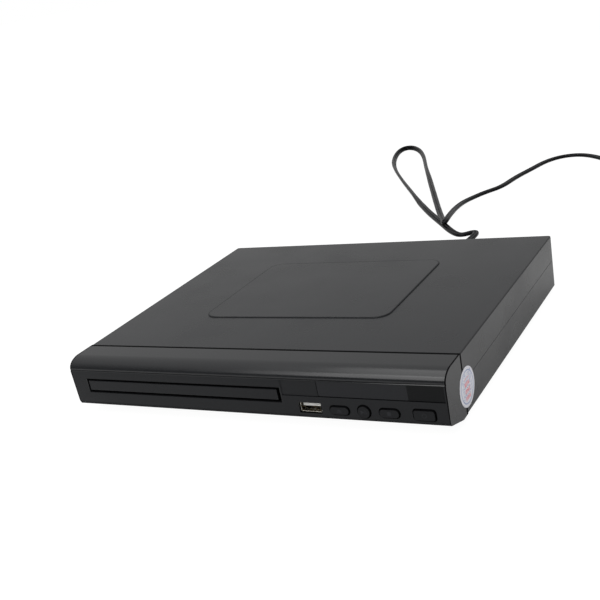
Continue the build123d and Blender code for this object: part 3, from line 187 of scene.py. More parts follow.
def board_finish(name, mask, copper, dots):
    """Laminate under solder mask: tracks and pads show through as lighter lines and dots."""
    made, tree, shader, place = bare_finish(name, mask, {"Roughness": 0.38, "IOR": 1.5})
    tracks = add_node(tree, "ShaderNodeTexBrick", {"offset": 0.37, "squash": 1.0}, {
        "Vector": place, "Scale": 1.0, "Mortar Size": 0.00022, "Brick Width": 0.0092, "Row Height": 0.0031,
        "Color1": linear("#000000"), "Color2": linear("#000000"), "Mortar": linear("#ffffff")})
    holes = add_node(tree, "ShaderNodeTexVoronoi", None,
                     {"Vector": place, "Scale": 1 / (4.2 * MM), "Randomness": 0.7})
    pads = between(tree, holes.outputs["Distance"], 1.0, 0.0, (0.13, 0.16))
    first = blended(tree, tracks.outputs["Color"], mask, copper)
    tree.links.new(blended(tree, pads, first, dots), shader.inputs["Base Color"])
    raised(tree, shader, tracks.outputs["Color"], 0.03, 0.5)
    return made


def sticker_finish():
    """Coated paper with a plain printed ring, bars and marks: matt, and slightly cockled."""
    made, tree, shader, place = bare_finish("coated_paper_printed", "#e2e2e8", {"Roughness": 0.55, "IOR": 1.4})
    lo, hi = low("side_sticker"), high("side_sticker")
    centre = (lo + hi) / 2
    moved = add_node(tree, "ShaderNodeMapping", None, {"Vector": place, "Location": -centre}).outputs["Vector"]
    flat = add_node(tree, "ShaderNodeVectorMath", {"operation": "MULTIPLY"}, {0: moved, 1: (0, 1, 1)}).outputs[0]
    away = add_node(tree, "ShaderNodeVectorMath", {"operation": "LENGTH"}, {0: flat}).outputs["Value"]
    ring = add_node(tree, "ShaderNodeMath", {"operation": "COMPARE"},
                    {0: away, 1: 9.0 * MM, 2: 0.35 * MM}).outputs[0]
    bars = between(tree, banded(tree, moved, "Z", 3.9), 0.0, 1.0, (0.3, 0.42))
    red_field = inside_box(tree, moved, y=(-3.4, 3.4), z=(-7.2, 5.2))
    red = combined(tree, "MULTIPLY", bars, red_field)
    gaps = between(tree, mottle(tree, moved, 0.9, 0.0), 0.35, 1.0, (0.42, 0.5))
    red = combined(tree, "MULTIPLY", red, gaps)
    side_field = inside_box(tree, moved, y=(-6.8, 6.8), z=(-6.0, 8.0))
    fleck = between(tree, mottle(tree, moved, 1.0, 0.0), 0.0, 0.7, (0.5, 0.58))
    blue = combined(tree, "MULTIPLY", fleck, side_field)
    inked = blended(tree, blue, "#e2e2e8", "#9aa6c8")
    inked = blended(tree, red, inked, "#e8949a")
    inked = blended(tree, ring, inked, "#a2adca")
    tree.links.new(inked, shader.inputs["Base Color"])
    raised(tree, shader, mottle(tree, place, 4.0), 0.05, 0.4)
    return made


def cord_cover():
    """Extruded PVC: satin, with faint scuffs along its length."""
    made, tree, shader, place = bare_finish("extruded_pvc_cover", "#08090a", {"IOR": 1.2})
    scuff = mottle(tree, place, 7, 4.0)
    tree.links.new(between(tree, scuff, 0.2, 0.34), shader.inputs["Roughness"])
    tree.links.new(blended(tree, between(tree, scuff, 0.0, 1.0), "#070709", "#101114"),
                   shader.inputs["Base Color"])
    raised(tree, shader, mottle(tree, place, 0.9), 0.02, 0.4)
    return made


def lens_glass():
    """Moulded pickup lens: clear, with the bluish bloom of its coating."""
    made, tree, shader, place = bare_finish("coated_moulded_lens", "#7f8fb8", {
        "Roughness": 0.04, "IOR": 1.5, "Coat Weight": 1.0, "Coat Roughness": 0.02})
    raised(tree, shader, mottle(tree, place, 1.5), 0.002, 0.2)
    return made


def ribbon_cable():
    """Flat cable: white polyester over bare tinned conductors a millimetre apart."""
    made, tree, shader, place = bare_finish("polyester_flat_cable", "#cfd2d2", {"Roughness": 0.35, "IOR": 1.5})
    lines = banded(tree, place, "X", 1.25)
    tree.links.new(blended(tree, between(tree, lines, 0, 1, (0.4, 0.7)), "#dcdedd", "#a9acac"),
                   shader.inputs["Base Color"])
    raised(tree, shader, lines, 0.06, 0.5)
    return made


# Each finish, with what it gives the eye.
FINISHES = {
    # Black, an even satin that greys towards a low angle.
    "shell_plastic": lambda: moulded_plastic("abs_shell_fine_grain", "#1a1b1d", 0.25, 1.33, 0.9, 0.012),
    # The glossiest moulding: lamps draw a soft line along its lip.
    "panel_plastic": lambda: moulded_plastic("abs_front_panel_satin", "#151618", 0.21, 1.42, 0.9, 0.008, 0.03),
    # Darker and flatter than the lip above it.
    "face_plastic": lambda: moulded_plastic("abs_front_face_etched", "#17181a", 0.3, 1.26, 0.7, 0.01),
    # Painted shade: a darker, flat black copy of the panel's plastic on the chin turned to the floor and in the
    # crease under the lip.
    "chin_plastic_painted_shade": lambda: moulded_plastic("abs_chin_etched_painted_shade", "#121315", 0.5, 1.2, 0.7, 0.01),
    # Painted shade: the same plastic made near black and dead matt, so that joint walls, slot walls and thin strips
    # at the joints read as the shade in their depth.
    "painted_gap_shade": lambda: moulded_plastic("abs_painted_gap_shade", "#070708", 0.9, 1.12, 0.7, 0.02),
    # Dull edge round the raised field.
    "step_dark": lambda: moulded_plastic("abs_step_matt", "#1b1c1e", 0.6, 1.36, 0.7, 0.02),
    # Grained matt, greyer than the case.
    "tray_plastic": lambda: moulded_plastic("abs_tray_matt_grain", "#1c1d1f", 0.46, 1.5, 0.7, 0.02),
    # As dark as the face, seen by its rims, whose side walls carry the painted gap shade.
    "key_plastic": lambda: moulded_plastic("abs_keys_satin", "#141517", 0.36, 1.24, 0.8, 0.008),
    # Dark grey utility moulding.
    "loader_plastic": lambda: moulded_plastic("abs_loader_matt", "#26282b", 0.5, 1.5, 1.2, 0.02),
    # Creamy and slightly waxy.
    "gear_plastic": lambda: moulded_plastic("acetal_gears_natural", "#d9d6c8", 0.36, 1.48, 1.0, 0.01),
    # Clean cool white.
    "white_plastic": lambda: moulded_plastic("acetal_white_moulded", "#dcdcd8", 0.4, 1.48, 1.0, 0.01),
    # Dead flat charcoal.
    "chip_plastic": lambda: moulded_plastic("epoxy_moulding_compound", "#1d1d1f", 0.55, 1.52, 0.5, 0.03),
    # Clear yellow ring.
    "collar_plastic": lambda: moulded_plastic("pp_socket_ring_yellow", "#d8b21c", 0.4, 1.49, 0.8, 0.01),
    # Clear white ring.
    "collar_white": lambda: moulded_plastic("pp_socket_ring_white", "#d4d4cf", 0.4, 1.49, 0.8, 0.01),
    # Clear red ring.
    "collar_red": lambda: moulded_plastic("pp_socket_ring_red", "#a8231f", 0.4, 1.49, 0.8, 0.01),
    # Tight dark film with a soft shine.
    "can_sleeve": lambda: moulded_plastic("pvc_can_sleeve_shrunk", "#23262c", 0.33, 1.5, 2.0, 0.02),
    # No shine at all, a little dusty.
    "black_rubber": lambda: moulded_plastic("rubber_moulded_matt", "#1a1a1b", 0.72, 1.5, 0.6, 0.05),
    # Deep still black behind a hard surface.
    "smoked_window": smoked_acrylic,
    # Spangled grey sheet.
    "steel_sheet": lambda: metal("galvanised_sheet", "#b9bcbe", 0.34, 7.0, (1, 1, 1), 0.01, "#9fa3a6"),
    # Bright, ground round its length.
    "steel_rod": lambda: metal("ground_steel_rod", "#c4c6c8", 0.16, 0.5, (1, 0.05, 1)),
    # Warm grey plating.
    "screw_steel": lambda: metal("zinc_plated_screw", "#bdbab2", 0.28, 0.6),
    # Bright, slightly yellow metal.
    "nickel": lambda: metal("nickel_plate_bright", "#c9c5bb", 0.2, 1.5),
    # Dull silver cover.
    "switch_metal": lambda: metal("tinned_switch_cover", "#b4b6b6", 0.32, 1.2),
    # Flat grey, a little rough.
    "die_cast": lambda: metal("die_cast_zinc", "#8f9193", 0.5, 0.8, (1, 1, 1), 0.03),
    # Thin dull gold.
    "gold_flash": lambda: metal("gold_flashed_contact", "#a38345", 0.3, 0.6),
    # Darkened nickel.
    "magnet": lambda: metal("nickelled_magnet", "#8d8d8b", 0.3, 0.8),
    # Near black ceramic.
    "ferrite": lambda: moulded_plastic("sintered_ferrite", "#2c2c2e", 0.6, 1.8, 0.5, 0.05),
    # Glossy amber tape.
    "winding_tape": lambda: moulded_plastic("polyester_winding_tape", "#c9a63a", 0.3, 1.5, 3.0, 0.04),
    # A blue glint.
    "lens_clear": lens_glass,
    # Green with lighter tracks and pads.
    "circuit_board": lambda: board_finish("epoxy_glass_board_green", "#1d4a33", "#2f6a49", "#c2c4bd"),
    # Tan board with darker tracks.
    "paper_board": lambda: board_finish("phenolic_paper_board", "#a8824f", "#8a6a40", "#c9cac4"),
    # White with fine grey conductors.
    "flat_cable": ribbon_cable,
    # Black with a broken line of shine.
    "cord_cover": cord_cover,
    # Soft white wire.
    "lead_white": lambda: moulded_plastic("pvc_lead_white", "#cfcfca", 0.4, 1.48, 1.0, 0.01),
    # White paper with pale blue and red print.
    "sticker_paper": sticker_finish,
    # Grey marks hardly lighter than the key.
    "key_print": lambda: moulded_plastic("pad_print_grey", "#232427", 0.36, 1.24, 0.6, 0.005),
}
MADE = {}


def finish(name):
    """The material for a finish, made once."""
    if name not in MADE:
        MADE[name] = FINISHES[name]()
    return MADE[name]


# ---------------------------------------------------------------- mesh tools
def new_piece(name, mesh, body, slot, nodes=(), look=None, flat=False):
    """Links a finished mesh as a piece that rides on a body and stands for its nodes. Flat lets its large faces rule
    the shading at rounded edges."""
    if isinstance(mesh, bmesh.types.BMesh):
        shape, mesh = mesh, bpy.data.meshes.new(name)
        bmesh.ops.recalc_face_normals(shape, faces=shape.faces)
        shape.to_mesh(mesh)
        shape.free()
    made = bpy.data.objects.new(name, mesh)
    bpy.context.scene.collection.objects.link(made)
    mesh.shade_smooth()
    mesh.set_sharp_from_angle(angle=math.radians(32))
    if not mesh.materials:
        mesh.materials.append(finish(look or slot))
    if flat:
        made.modifiers.new("weights", "WEIGHTED_NORMAL").keep_sharp = True
        made.data = bpy.data.meshes.new_from_object(made.evaluated_get(bpy.context.evaluated_depsgraph_get()))
        made.modifiers.clear()
        bpy.data.meshes.remove(mesh)
    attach(made, body)
    if nodes:
        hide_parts(*nodes)
    return made


def merged(node):
    """A CAD node's triangles merged into clean faces."""
    shape = bmesh.new()
    shape.from_mesh(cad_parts[node].data)
    bmesh.ops.remove_doubles(shape, verts=shape.verts, dist=2e-6)
    bmesh.ops.dissolve_limit(shape, angle_limit=math.radians(0.4), verts=shape.verts, edges=shape.edges)
    return shape


def cut_across(shape, at, along):
    """Adds edges where a plane crosses the shape, and takes nothing away."""
    everything = shape.verts[:] + shape.edges[:] + shape.faces[:]
    bmesh.ops.bisect_plane(shape, geom=everything, plane_co=at, plane_no=along)


def sharp(edge, degrees=30):
    return len(edge.link_faces) == 2 and edge.calc_face_angle(0) > math.radians(degrees)


def moulded_copy(node, body, slot, rounds=(), zones=(), look=None, shape=None):
    """A node's own shape. A round is a radius and a test of an edge's two ends. A zone is a finish and a test of a
    face's normal and middle."""
    shape = shape or merged(node)
    for radius, chosen in rounds:
        edges = [e for e in shape.edges if sharp(e) and chosen(*[v.co for v in e.verts])]
        bmesh.ops.bevel(shape, geom=edges, offset=radius, segments=3, profile=0.5, affect="EDGES",
                        clamp_overlap=True)
    mesh = bpy.data.meshes.new(node + "_dressed")
    mesh.materials.append(finish(look or slot))
    for place, (zone_look, inside) in enumerate(zones, 1):
        mesh.materials.append(finish(zone_look))
        for face in shape.faces:
            if inside(face.normal, face.calc_center_median()):
                face.material_index = place
    shape.to_mesh(mesh)
    shape.free()
    return new_piece(node + "_dressed", mesh, body, slot, (node,), look, True)


def every_edge(a, b):
    return True


def behind_face(normal, middle):
    """Every face that doesn't look forwards."""
    return normal.y > -0.8


def solids_of(node):
    """The lowest and highest corner of each separate solid of a node, sorted along X and then Y."""
    shape = bmesh.new()
    shape.from_mesh(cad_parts[node].data)
    bmesh.ops.remove_doubles(shape, verts=shape.verts, dist=2e-6)
    left, found = set(shape.verts), []
    while left:
        stack = [left.pop()]
        points = []
        while stack:
            here = stack.pop()
            points.append(here.co.copy())
            for edge in here.link_edges:
                other = edge.other_vert(here)
                if other in left:
                    left.discard(other)
                    stack.append(other)
        found.append(tuple(Vector([pick(p[i] for p in points) for i in range(3)]) for pick in (min, max)))
    shape.free()
    return sorted(found, key=lambda b: (round(b[0].x, 4), round(b[0].y, 4)))


def lathe(shape, profile, centre, axis, steps=48, closed=False):
    """Turns a profile of (radius, height) in millimetres round an axis; a zero radius closes it."""
    turn = axis.to_track_quat("Z", "Y")
    rings = []
    for radius, height in profile:
        count = 1 if radius == 0 else steps
        ring = []
        for i in range(count):
            angle = 2 * math.pi * i / steps
            point = Vector((radius * math.cos(angle), radius * math.sin(angle), height)) * MM
            ring.append(shape.verts.new(centre + turn @ point))
        rings.append(ring)
    pairs = list(zip(rings, rings[1:])) + ([(rings[-1], rings[0])] if closed else [])
    for first, second in pairs:
        for i in range(steps):
            corners = []
            for ring, at in ((first, i), (first, i + 1), (second, i + 1), (second, i)):
                vert = ring[at % len(ring)]
                if vert not in corners:
                    corners.append(vert)
            if len(corners) > 2:
                shape.faces.new(corners)
    return shape


def loft(shape, rings):
    """Joins rings of points that have the same count, and caps both ends."""
    made = [[shape.verts.new(point) for point in ring] for ring in rings]
    for first, second in zip(made, made[1:]):
        for i in range(len(first)):
            j = (i + 1) % len(first)
            shape.faces.new((first[i], first[j], second[j], second[i]))
    shape.faces.new(made[0][::-1])
    shape.faces.new(made[-1])
    return shape


def smooth_line(points):
    """Points along a NURBS spline through a route, read from a curve with no bevel."""
    data = bpy.data.curves.new("route", "CURVE")
    data.dimensions = "3D"
    data.resolution_u = 8
    spline = data.splines.new("NURBS")
    spline.points.add(len(points) - 1)
    for place, point in zip(spline.points, points):
        place.co = (*point, 1.0)
    spline.order_u = 3
    spline.use_endpoint_u = True
    guide = bpy.data.objects.new("route", data)
    bpy.context.scene.collection.objects.link(guide)
    made = bpy.data.meshes.new_from_object(guide.evaluated_get(bpy.context.evaluated_depsgraph_get()))
    line = [made.vertices[0].co.copy()]
    for vert in made.vertices:
        if (vert.co - line[-1]).length > 0.2 * MM:
            line.append(vert.co.copy())
    bpy.data.objects.remove(guide)
    bpy.data.meshes.remove(made)
    return line


def swept(shape, line, section, up=Z, closed=False, rolls=None):
    """Carries a section of (across, upward) points in metres along a line, rolled by an angle at each point."""
    rings = []
    last = len(line) - 1
    for i, here in enumerate(line):
        before = line[i - 1] if i or closed else here
        after = line[(i + 1) % len(line)] if i < last or closed else here
        ahead = (after - before).normalized()
        side = ahead.cross(up).normalized()
        rise = side.cross(ahead)
        if rolls:
            side, rise = [Matrix.Rotation(rolls[i], 3, ahead) @ d for d in (side, rise)]
        rings.append([here + side * a + rise * b for a, b in section])
    if not closed:
        return loft(shape, rings)
    made = [[shape.verts.new(point) for point in ring] for ring in rings]
    for i, first in enumerate(made):
        second = made[(i + 1) % len(made)]
        for j in range(len(first)):
            k = (j + 1) % len(first)
            shape.faces.new((first[j], first[k], second[k], second[j]))
    return shape


def oval(half_w, half_h, power=2.0, count=24):
    """A rounded section: power 2 is an ellipse, and a larger one is boxier."""
    found = []
    for i in range(count):
        angle = 2 * math.pi * i / count
        c, s = math.cos(angle), math.sin(angle)
        found.append((half_w * math.copysign(abs(c) ** (2 / power), c),
                      half_h * math.copysign(abs(s) ** (2 / power), s)))
    return found


# ---------------------------------------------------------------- geometry trees for what repeats
def new_tree(name, sizes):
    """A geometry tree with named inputs: returns it with the outputs of its input node."""
    tree = bpy.data.node_groups.new(name, "GeometryNodeTree")
    tree.interface.new_socket("Geometry", in_out="INPUT", socket_type="NodeSocketGeometry")
    for label, kind, value in sizes:
        tree.interface.new_socket(label, in_out="INPUT", socket_type=kind).default_value = value
    tree.interface.new_socket("Material", in_out="INPUT", socket_type="NodeSocketMaterial")
    tree.interface.new_socket("Geometry", in_out="OUTPUT", socket_type="NodeSocketGeometry")
    return tree, add_node(tree, "NodeGroupInput").outputs


def end_tree(tree, given, shape, turn):
    """Puts a shape on every point, realised and with its material."""
    placed = add_node(tree, "GeometryNodeInstanceOnPoints", None,
                      {"Points": given["Geometry"], "Instance": shape, "Rotation": turn})
    real = add_node(tree, "GeometryNodeRealizeInstances", None, {"Geometry": placed.outputs["Instances"]})
    dressed = add_node(tree, "GeometryNodeSetMaterial", None,
                       {"Geometry": real.outputs["Geometry"], "Material": given["Material"]})
    add_node(tree, "NodeGroupOutput", None, {"Geometry": dressed.outputs["Geometry"]})


def screw_tree():
    """A pan-head screw with a cross recess and a rolled thread, its head's underside at the point, pointing down."""
    tree, given = new_tree("pan_head_screw", [
        ("Head radius", "NodeSocketFloat", 2.6 * MM), ("Head height", "NodeSocketFloat", 1.8 * MM),
        ("Shank radius", "NodeSocketFloat", 1.45 * MM), ("Shank length", "NodeSocketFloat", 8 * MM),
        ("Thread pitch", "NodeSocketFloat", 1.1 * MM), ("Turn", "NodeSocketVector", (0, 0, 0))])

    def times(first, second, how="MULTIPLY"):
        return combined(tree, how, first, second)

    def up(amount):
        return add_node(tree, "ShaderNodeCombineXYZ", None, {"Z": amount}).outputs[0]

    height, radius = given["Head height"], given["Head radius"]
    rim = times(height, 0.55)
    disc = add_node(tree, "GeometryNodeMeshCylinder", None, {"Vertices": 32, "Radius": radius, "Depth": rim})
    disc = add_node(tree, "GeometryNodeTransform", None,
                    {"Geometry": disc.outputs["Mesh"], "Translation": up(times(rim, 0.5))})
    dome = add_node(tree, "GeometryNodeMeshCone", None, {
        "Vertices": 32, "Radius Bottom": radius, "Radius Top": times(radius, 0.72), "Depth": times(height, 0.45)})
    dome = add_node(tree, "GeometryNodeTransform", None,
                    {"Geometry": dome.outputs["Mesh"], "Translation": up(times(rim, 0.999))})
    head = add_node(tree, "GeometryNodeMeshBoolean", {"operation": "UNION"})
    tree.links.new(dome.outputs["Geometry"], head.inputs["Mesh 2"])
    tree.links.new(disc.outputs["Geometry"], head.inputs["Mesh 2"])
    cross = add_node(tree, "GeometryNodeMeshBoolean", {"operation": "DIFFERENCE"},
                     {"Mesh 1": head.outputs["Mesh"]})
    arms = []
    for i in (0, 1):
        size = [times(radius, 0.26), times(radius, 0.26)]
        size[i] = times(radius, 1.15)
        box = add_node(tree, "ShaderNodeCombineXYZ", None,
                       {"X": size[0], "Y": size[1], "Z": times(height, 1.2)}).outputs[0]
        arm = add_node(tree, "GeometryNodeMeshCube", None, {"Size": box})
        arms.append(add_node(tree, "GeometryNodeTransform", None,
                             {"Geometry": arm.outputs["Mesh"], "Translation": up(height)}))
    for arm in arms:
        tree.links.new(arm.outputs["Geometry"], cross.inputs["Mesh 2"])
    shank = add_node(tree, "GeometryNodeMeshCylinder", None, {
        "Vertices": 16, "Side Segments": 48, "Radius": given["Shank radius"], "Depth": given["Shank length"]})
    sunk = add_node(tree, "GeometryNodeTransform", None, {
        "Geometry": shank.outputs["Mesh"], "Translation": up(times(given["Shank length"], -0.5))})
    position = add_node(tree, "GeometryNodeInputPosition").outputs[0]
    place = add_node(tree, "ShaderNodeSeparateXYZ", None, {"Vector": position})
    round_it = times(place.outputs["Y"], place.outputs["X"], "ARCTAN2")
    rise = times(times(place.outputs["Z"], given["Thread pitch"], "DIVIDE"), 2 * math.pi)
    wave = times(times(times(rise, round_it, "ADD"), 0.0, "SINE"), 1.0, "SUBTRACT")
    flat = add_node(tree, "ShaderNodeCombineXYZ", None,
                    {"X": place.outputs["X"], "Y": place.outputs["Y"]}).outputs[0]
    push = add_node(tree, "ShaderNodeVectorMath", {"operation": "SCALE"},
                    {0: flat, "Scale": times(wave, 0.09)}).outputs[0]
    thread = add_node(tree, "GeometryNodeSetPosition", None,
                      {"Geometry": sunk.outputs["Geometry"], "Offset": push})
    whole = add_node(tree, "GeometryNodeJoinGeometry")
    tree.links.new(cross.outputs["Mesh"], whole.inputs["Geometry"])
    tree.links.new(thread.outputs["Geometry"], whole.inputs["Geometry"])
    end_tree(tree, given, whole.outputs["Geometry"], given["Turn"])
    return tree


def leg_tree():
    """A formed leg: a foot on the board and a riser up to the package."""
    tree, given = new_tree("formed_leg", [
        ("Foot", "NodeSocketVector", (0.7 * MM, 0.3 * MM, 0.15 * MM)),
        ("Riser", "NodeSocketVector", (0.15 * MM, 0.3 * MM, 0.8 * MM)),
        ("Turn", "NodeSocketVector", (0, 0, 0))])
    whole = add_node(tree, "GeometryNodeJoinGeometry")
    for label in ("Foot", "Riser"):
        block = add_node(tree, "GeometryNodeMeshCube", None, {"Size": given[label]})
        half = add_node(tree, "ShaderNodeVectorMath", {"operation": "MULTIPLY"},
                        {0: given[label], 1: (0.5, 0, 0.5)})
        moved = add_node(tree, "GeometryNodeTransform", None,
                         {"Geometry": block.outputs["Mesh"], "Translation": half.outputs[0]})
        tree.links.new(moved.outputs["Geometry"], whole.inputs["Geometry"])
    end_tree(tree, given, whole.outputs["Geometry"], given["Turn"])
    return tree


def grown(name, tree, points, values, body, slot, nodes=(), look=None):
    """A plain mesh grown by a tree on points, as a piece."""
    mesh = bpy.data.meshes.new(name + "_points")
    mesh.from_pydata([tuple(p) for p in points], [], [])
    seed = bpy.data.objects.new(name + "_seed", mesh)
    bpy.context.scene.collection.objects.link(seed)
    modifier = seed.modifiers.new("grow", "NODES")
    modifier.node_group = tree
    values = {**values, "Material": finish(look or slot)}
    for item in tree.interface.items_tree:
        if item.item_type == "SOCKET" and item.in_out == "INPUT" and item.name in values:
            modifier[item.identifier] = values[item.name]
    made = bpy.data.meshes.new_from_object(seed.evaluated_get(bpy.context.evaluated_depsgraph_get()))
    bpy.data.objects.remove(seed)
    bpy.data.meshes.remove(mesh)
    if not made.polygons:
        raise RuntimeError(name + " grew no faces")
    return new_piece(name, made, body, slot, nodes, look)


# ---------------------------------------------------------------- sizes and colours a user would change
class PlayerSizes(bpy.types.PropertyGroup):
    # Painted shade: the line at the panel's ends is a near-black strip standing for the shade at its edges.
    panel_end_shade_line: bpy.props.FloatProperty(
        name="Panel end shade line", description="Width of the matt line at the front panel's ends", default=0.9 * MM,
        subtype="DISTANCE")
    base_edge: bpy.props.FloatProperty(
        name="Base edge radius", description="Rounding of the lower shell's bottom edge", default=0.7 * MM,
        subtype="DISTANCE")
    # Painted shade: the strip at the panel's joint with the case is near black, standing for the shade in the joint.
    panel_joint_shade_line: bpy.props.FloatProperty(
        name="Panel joint shade line", description="Width of the matt line where the panel meets the case",
        default=1.9 * MM, subtype="DISTANCE")
    slot_edge: bpy.props.FloatProperty(
        name="Slot edge radius", description="Rounding of the tray's opening and of its front", default=0.75 * MM,
        subtype="DISTANCE")
    joint_edge: bpy.props.FloatProperty(
        name="Shell joint rounding", description="Rounding of both shells along their joint", default=0.25 * MM,
        subtype="DISTANCE")
    field_line: bpy.props.FloatProperty(
        name="Field line", description="Width of the matt line round the raised field", default=0.6 * MM,
        subtype="DISTANCE")
    cord_width: bpy.props.FloatProperty(
        name="Cord width", description="Width of the flat twin cord", default=5.6 * MM, subtype="DISTANCE")
    cord_height: bpy.props.FloatProperty(
        name="Cord thickness", description="Thickness of the flat twin cord", default=3.0 * MM,
        subtype="DISTANCE")
    thread_pitch: bpy.props.FloatProperty(
        name="Thread pitch", description="Pitch of the self-tapping screws", default=1.1 * MM, subtype="DISTANCE")


class PlayerStage(bpy.types.PropertyGroup):
    floor: bpy.props.FloatVectorProperty(
        name="Floor", description="Colour of the floor", default=linear("#d6d6d6"), size=4, subtype="COLOR")
    surround: bpy.props.FloatProperty(
        name="Surround", description="Level of the studio behind the object, near the floor", default=0.55, min=0)
    key_power: bpy.props.FloatProperty(
        name="Front lamp", description="Power of the large soft lamp above the front", default=10.5, min=0,
        unit="POWER")
    overhead_power: bpy.props.FloatProperty(
        name="Overhead lamp", description="Power of the lamp above, whose gleam lies along the panel's lip",
        default=2.2, min=0, unit="POWER")


def sizes():
    return bpy.context.scene.player_sizes


# ---------------------------------------------------------------- pieces
class PLAYER_OT_case_shells(bpy.types.Operator):
    """Lower and upper shell of the case."""

    bl_idname = "player.case_shells"
    bl_label = "Case shells"

    def execute(self, context):
        cover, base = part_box("top_cover"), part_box("bottom_case")
        joint, front, side, back = cover[0].z, cover[0].y, cover[1].x, cover[1].y

        def outside(a, b):
            return all(abs(p.x) > side - 1.2 * MM or p.y > back - 2.6 * MM for p in (a, b))

        def base_rim(a, b):
            return max(a.z, b.z) < base[0].z + 0.1 * MM and outside(a, b)

        def joint_rim(a, b):
            return max(abs(a.z - joint), abs(b.z - joint)) < 0.1 * MM and outside(a, b)

        def front_wall(normal, middle):
            return normal.y < -0.9 and middle.y < front + 0.1 * MM

        def field_step(normal, middle):
            off_centre = abs(middle.x) > 20 * MM or abs(middle.y) > 40 * MM
            return middle.z > cover[1].z - 0.5 * MM and (normal.z < 0.95 or off_centre)

        shape = merged("top_cover")
        field = max(shape.faces, key=lambda f: (round(f.calc_center_median().z, 5), f.calc_area()))
        bmesh.ops.inset_individual(shape, faces=[field], thickness=sizes().field_line)
        # Painted shade: the front walls at the panel joint are made near black to read as the shade in the joint.
        moulded_copy("top_cover", "case", "shell_plastic", [(sizes().joint_edge, joint_rim)],
                     [("painted_gap_shade", front_wall), ("step_dark", field_step)], None, shape)
        moulded_copy("bottom_case", "case", "shell_plastic",
                     [(sizes().base_edge, base_rim), (sizes().joint_edge, joint_rim)],
                     [("painted_gap_shade", front_wall)])
        return {"FINISHED"}


class PLAYER_OT_front_panel(bpy.types.Operator):
    """Front panel, its display window and the tray's front."""

    bl_idname = "player.front_panel"
    bl_label = "Front panel"

    def execute(self, context):
        lo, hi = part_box("front_bezel")
        joint, crease = low("top_cover").y, 31.45 * MM

        lean = 0.012
        shape = merged("front_bezel")
        # Painted shade: thin strips at both ends of the front, cut here, are made near black to stand for the shade
        # at the panel's edges.
        for side in (-1, 1):
            cut_across(shape, (side * (hi.x - sizes().panel_end_shade_line), 0, hi.z), (side, 0, -lean))
        # Painted shade: a strip of the panel's top behind this line is made near black to stand for the shade in the
        # joint with the case.
        behind = joint - sizes().panel_joint_shade_line
        cut_across(shape, (0, behind, 0), (0, 1, 0))

        def rear_rim(a, b):
            at_joint = max(abs(a.y - joint), abs(b.y - joint)) < 0.05 * MM
            return at_joint and all(abs(p.x) > hi.x - 1.3 * MM or p.z > hi.z - 0.1 * MM for p in (a, b))

        slot_lo, slot_hi = low("tray_door") - Vector((2, 2, 2)) * MM, high("tray_door") + Vector((2, 2, 2)) * MM

        def slot_rim(a, b):
            return all(p.y < lo.y + 0.05 * MM and slot_lo.x < p.x < slot_hi.x and slot_lo.z < p.z < slot_hi.z
                       for p in (a, b))

        # Painted shade: the walls of the tray opening take the near-black gap shade.
        def opening_wall(normal, middle):
            inner = abs(middle.x) < hi.x - 1.5 * MM and 10 * MM < middle.z < crease - 0.2 * MM
            return -0.8 < normal.y < 0.5 and inner and lo.y - MM < middle.y < lo.y + 5 * MM

        def face(normal, middle):
            return normal.y < -0.75 and middle.z < crease and abs(normal.x) < 0.2

        # Painted shade: faces turned down to the floor take the darker chin copy.
        def chin(normal, middle):
            return normal.z < -0.2 and -0.98 <= normal.y < -0.2 and abs(normal.x) < 0.2

        # Painted shade: the crease under the lip is darkened with the chin's copy.
        def under_lip(normal, middle):
            at_crease = abs(middle.z - crease) < 0.35 * MM and abs(normal.x) < 0.2
            return normal.z < 0.1 and at_crease and -0.95 < normal.y < 0

        # Painted shade: the strip at each end of the panel takes the near-black gap shade.
        def end_shade_line(normal, middle):
            past = abs(middle.x) - (middle.z - hi.z) * lean > hi.x - sizes().panel_end_shade_line
            return past and abs(normal.x) < 0.5 and normal.y < 0.1 and middle.y < behind

        def end_face(normal, middle):
            return abs(normal.x) > 0.97

        # Painted shade: the strip behind the joint takes the near-black gap shade.
        def joint_shade_strip(normal, middle):
            return middle.y > behind

        moulded_copy("front_bezel", "case", "panel_plastic", [
            (sizes().joint_edge, rear_rim), (sizes().slot_edge, slot_rim)],
                     [("face_plastic", face), ("chin_plastic_painted_shade", chin), ("painted_gap_shade", opening_wall),
                      ("chin_plastic_painted_shade", under_lip),
                      ("painted_gap_shade", end_shade_line), ("shell_plastic", end_face), ("painted_gap_shade", joint_shade_strip)], None, shape)
        window, window_end = merged("display_lens"), low("display_lens").x + 0.45 * MM
        cut_across(window, (window_end, 0, 0), (1, 0, 0))

        # Painted shade: the window's left end is made near black to read as the shade in the gap beside it.
        def left_end(normal, middle):
            return middle.x < window_end

        moulded_copy("display_lens", "case", "smoked_window", [(0.2 * MM, every_edge)], [("painted_gap_shade", left_end)],
                     None, window)
        # Painted shade: every face of the tray's front that doesn't look forwards is made near black, for the shade
        # in the gap round it.
        moulded_copy("tray_door", "tray", "panel_plastic", [(sizes().slot_edge, every_edge)],
                     [("painted_gap_shade", behind_face)], "face_plastic")
        return {"FINISHED"}


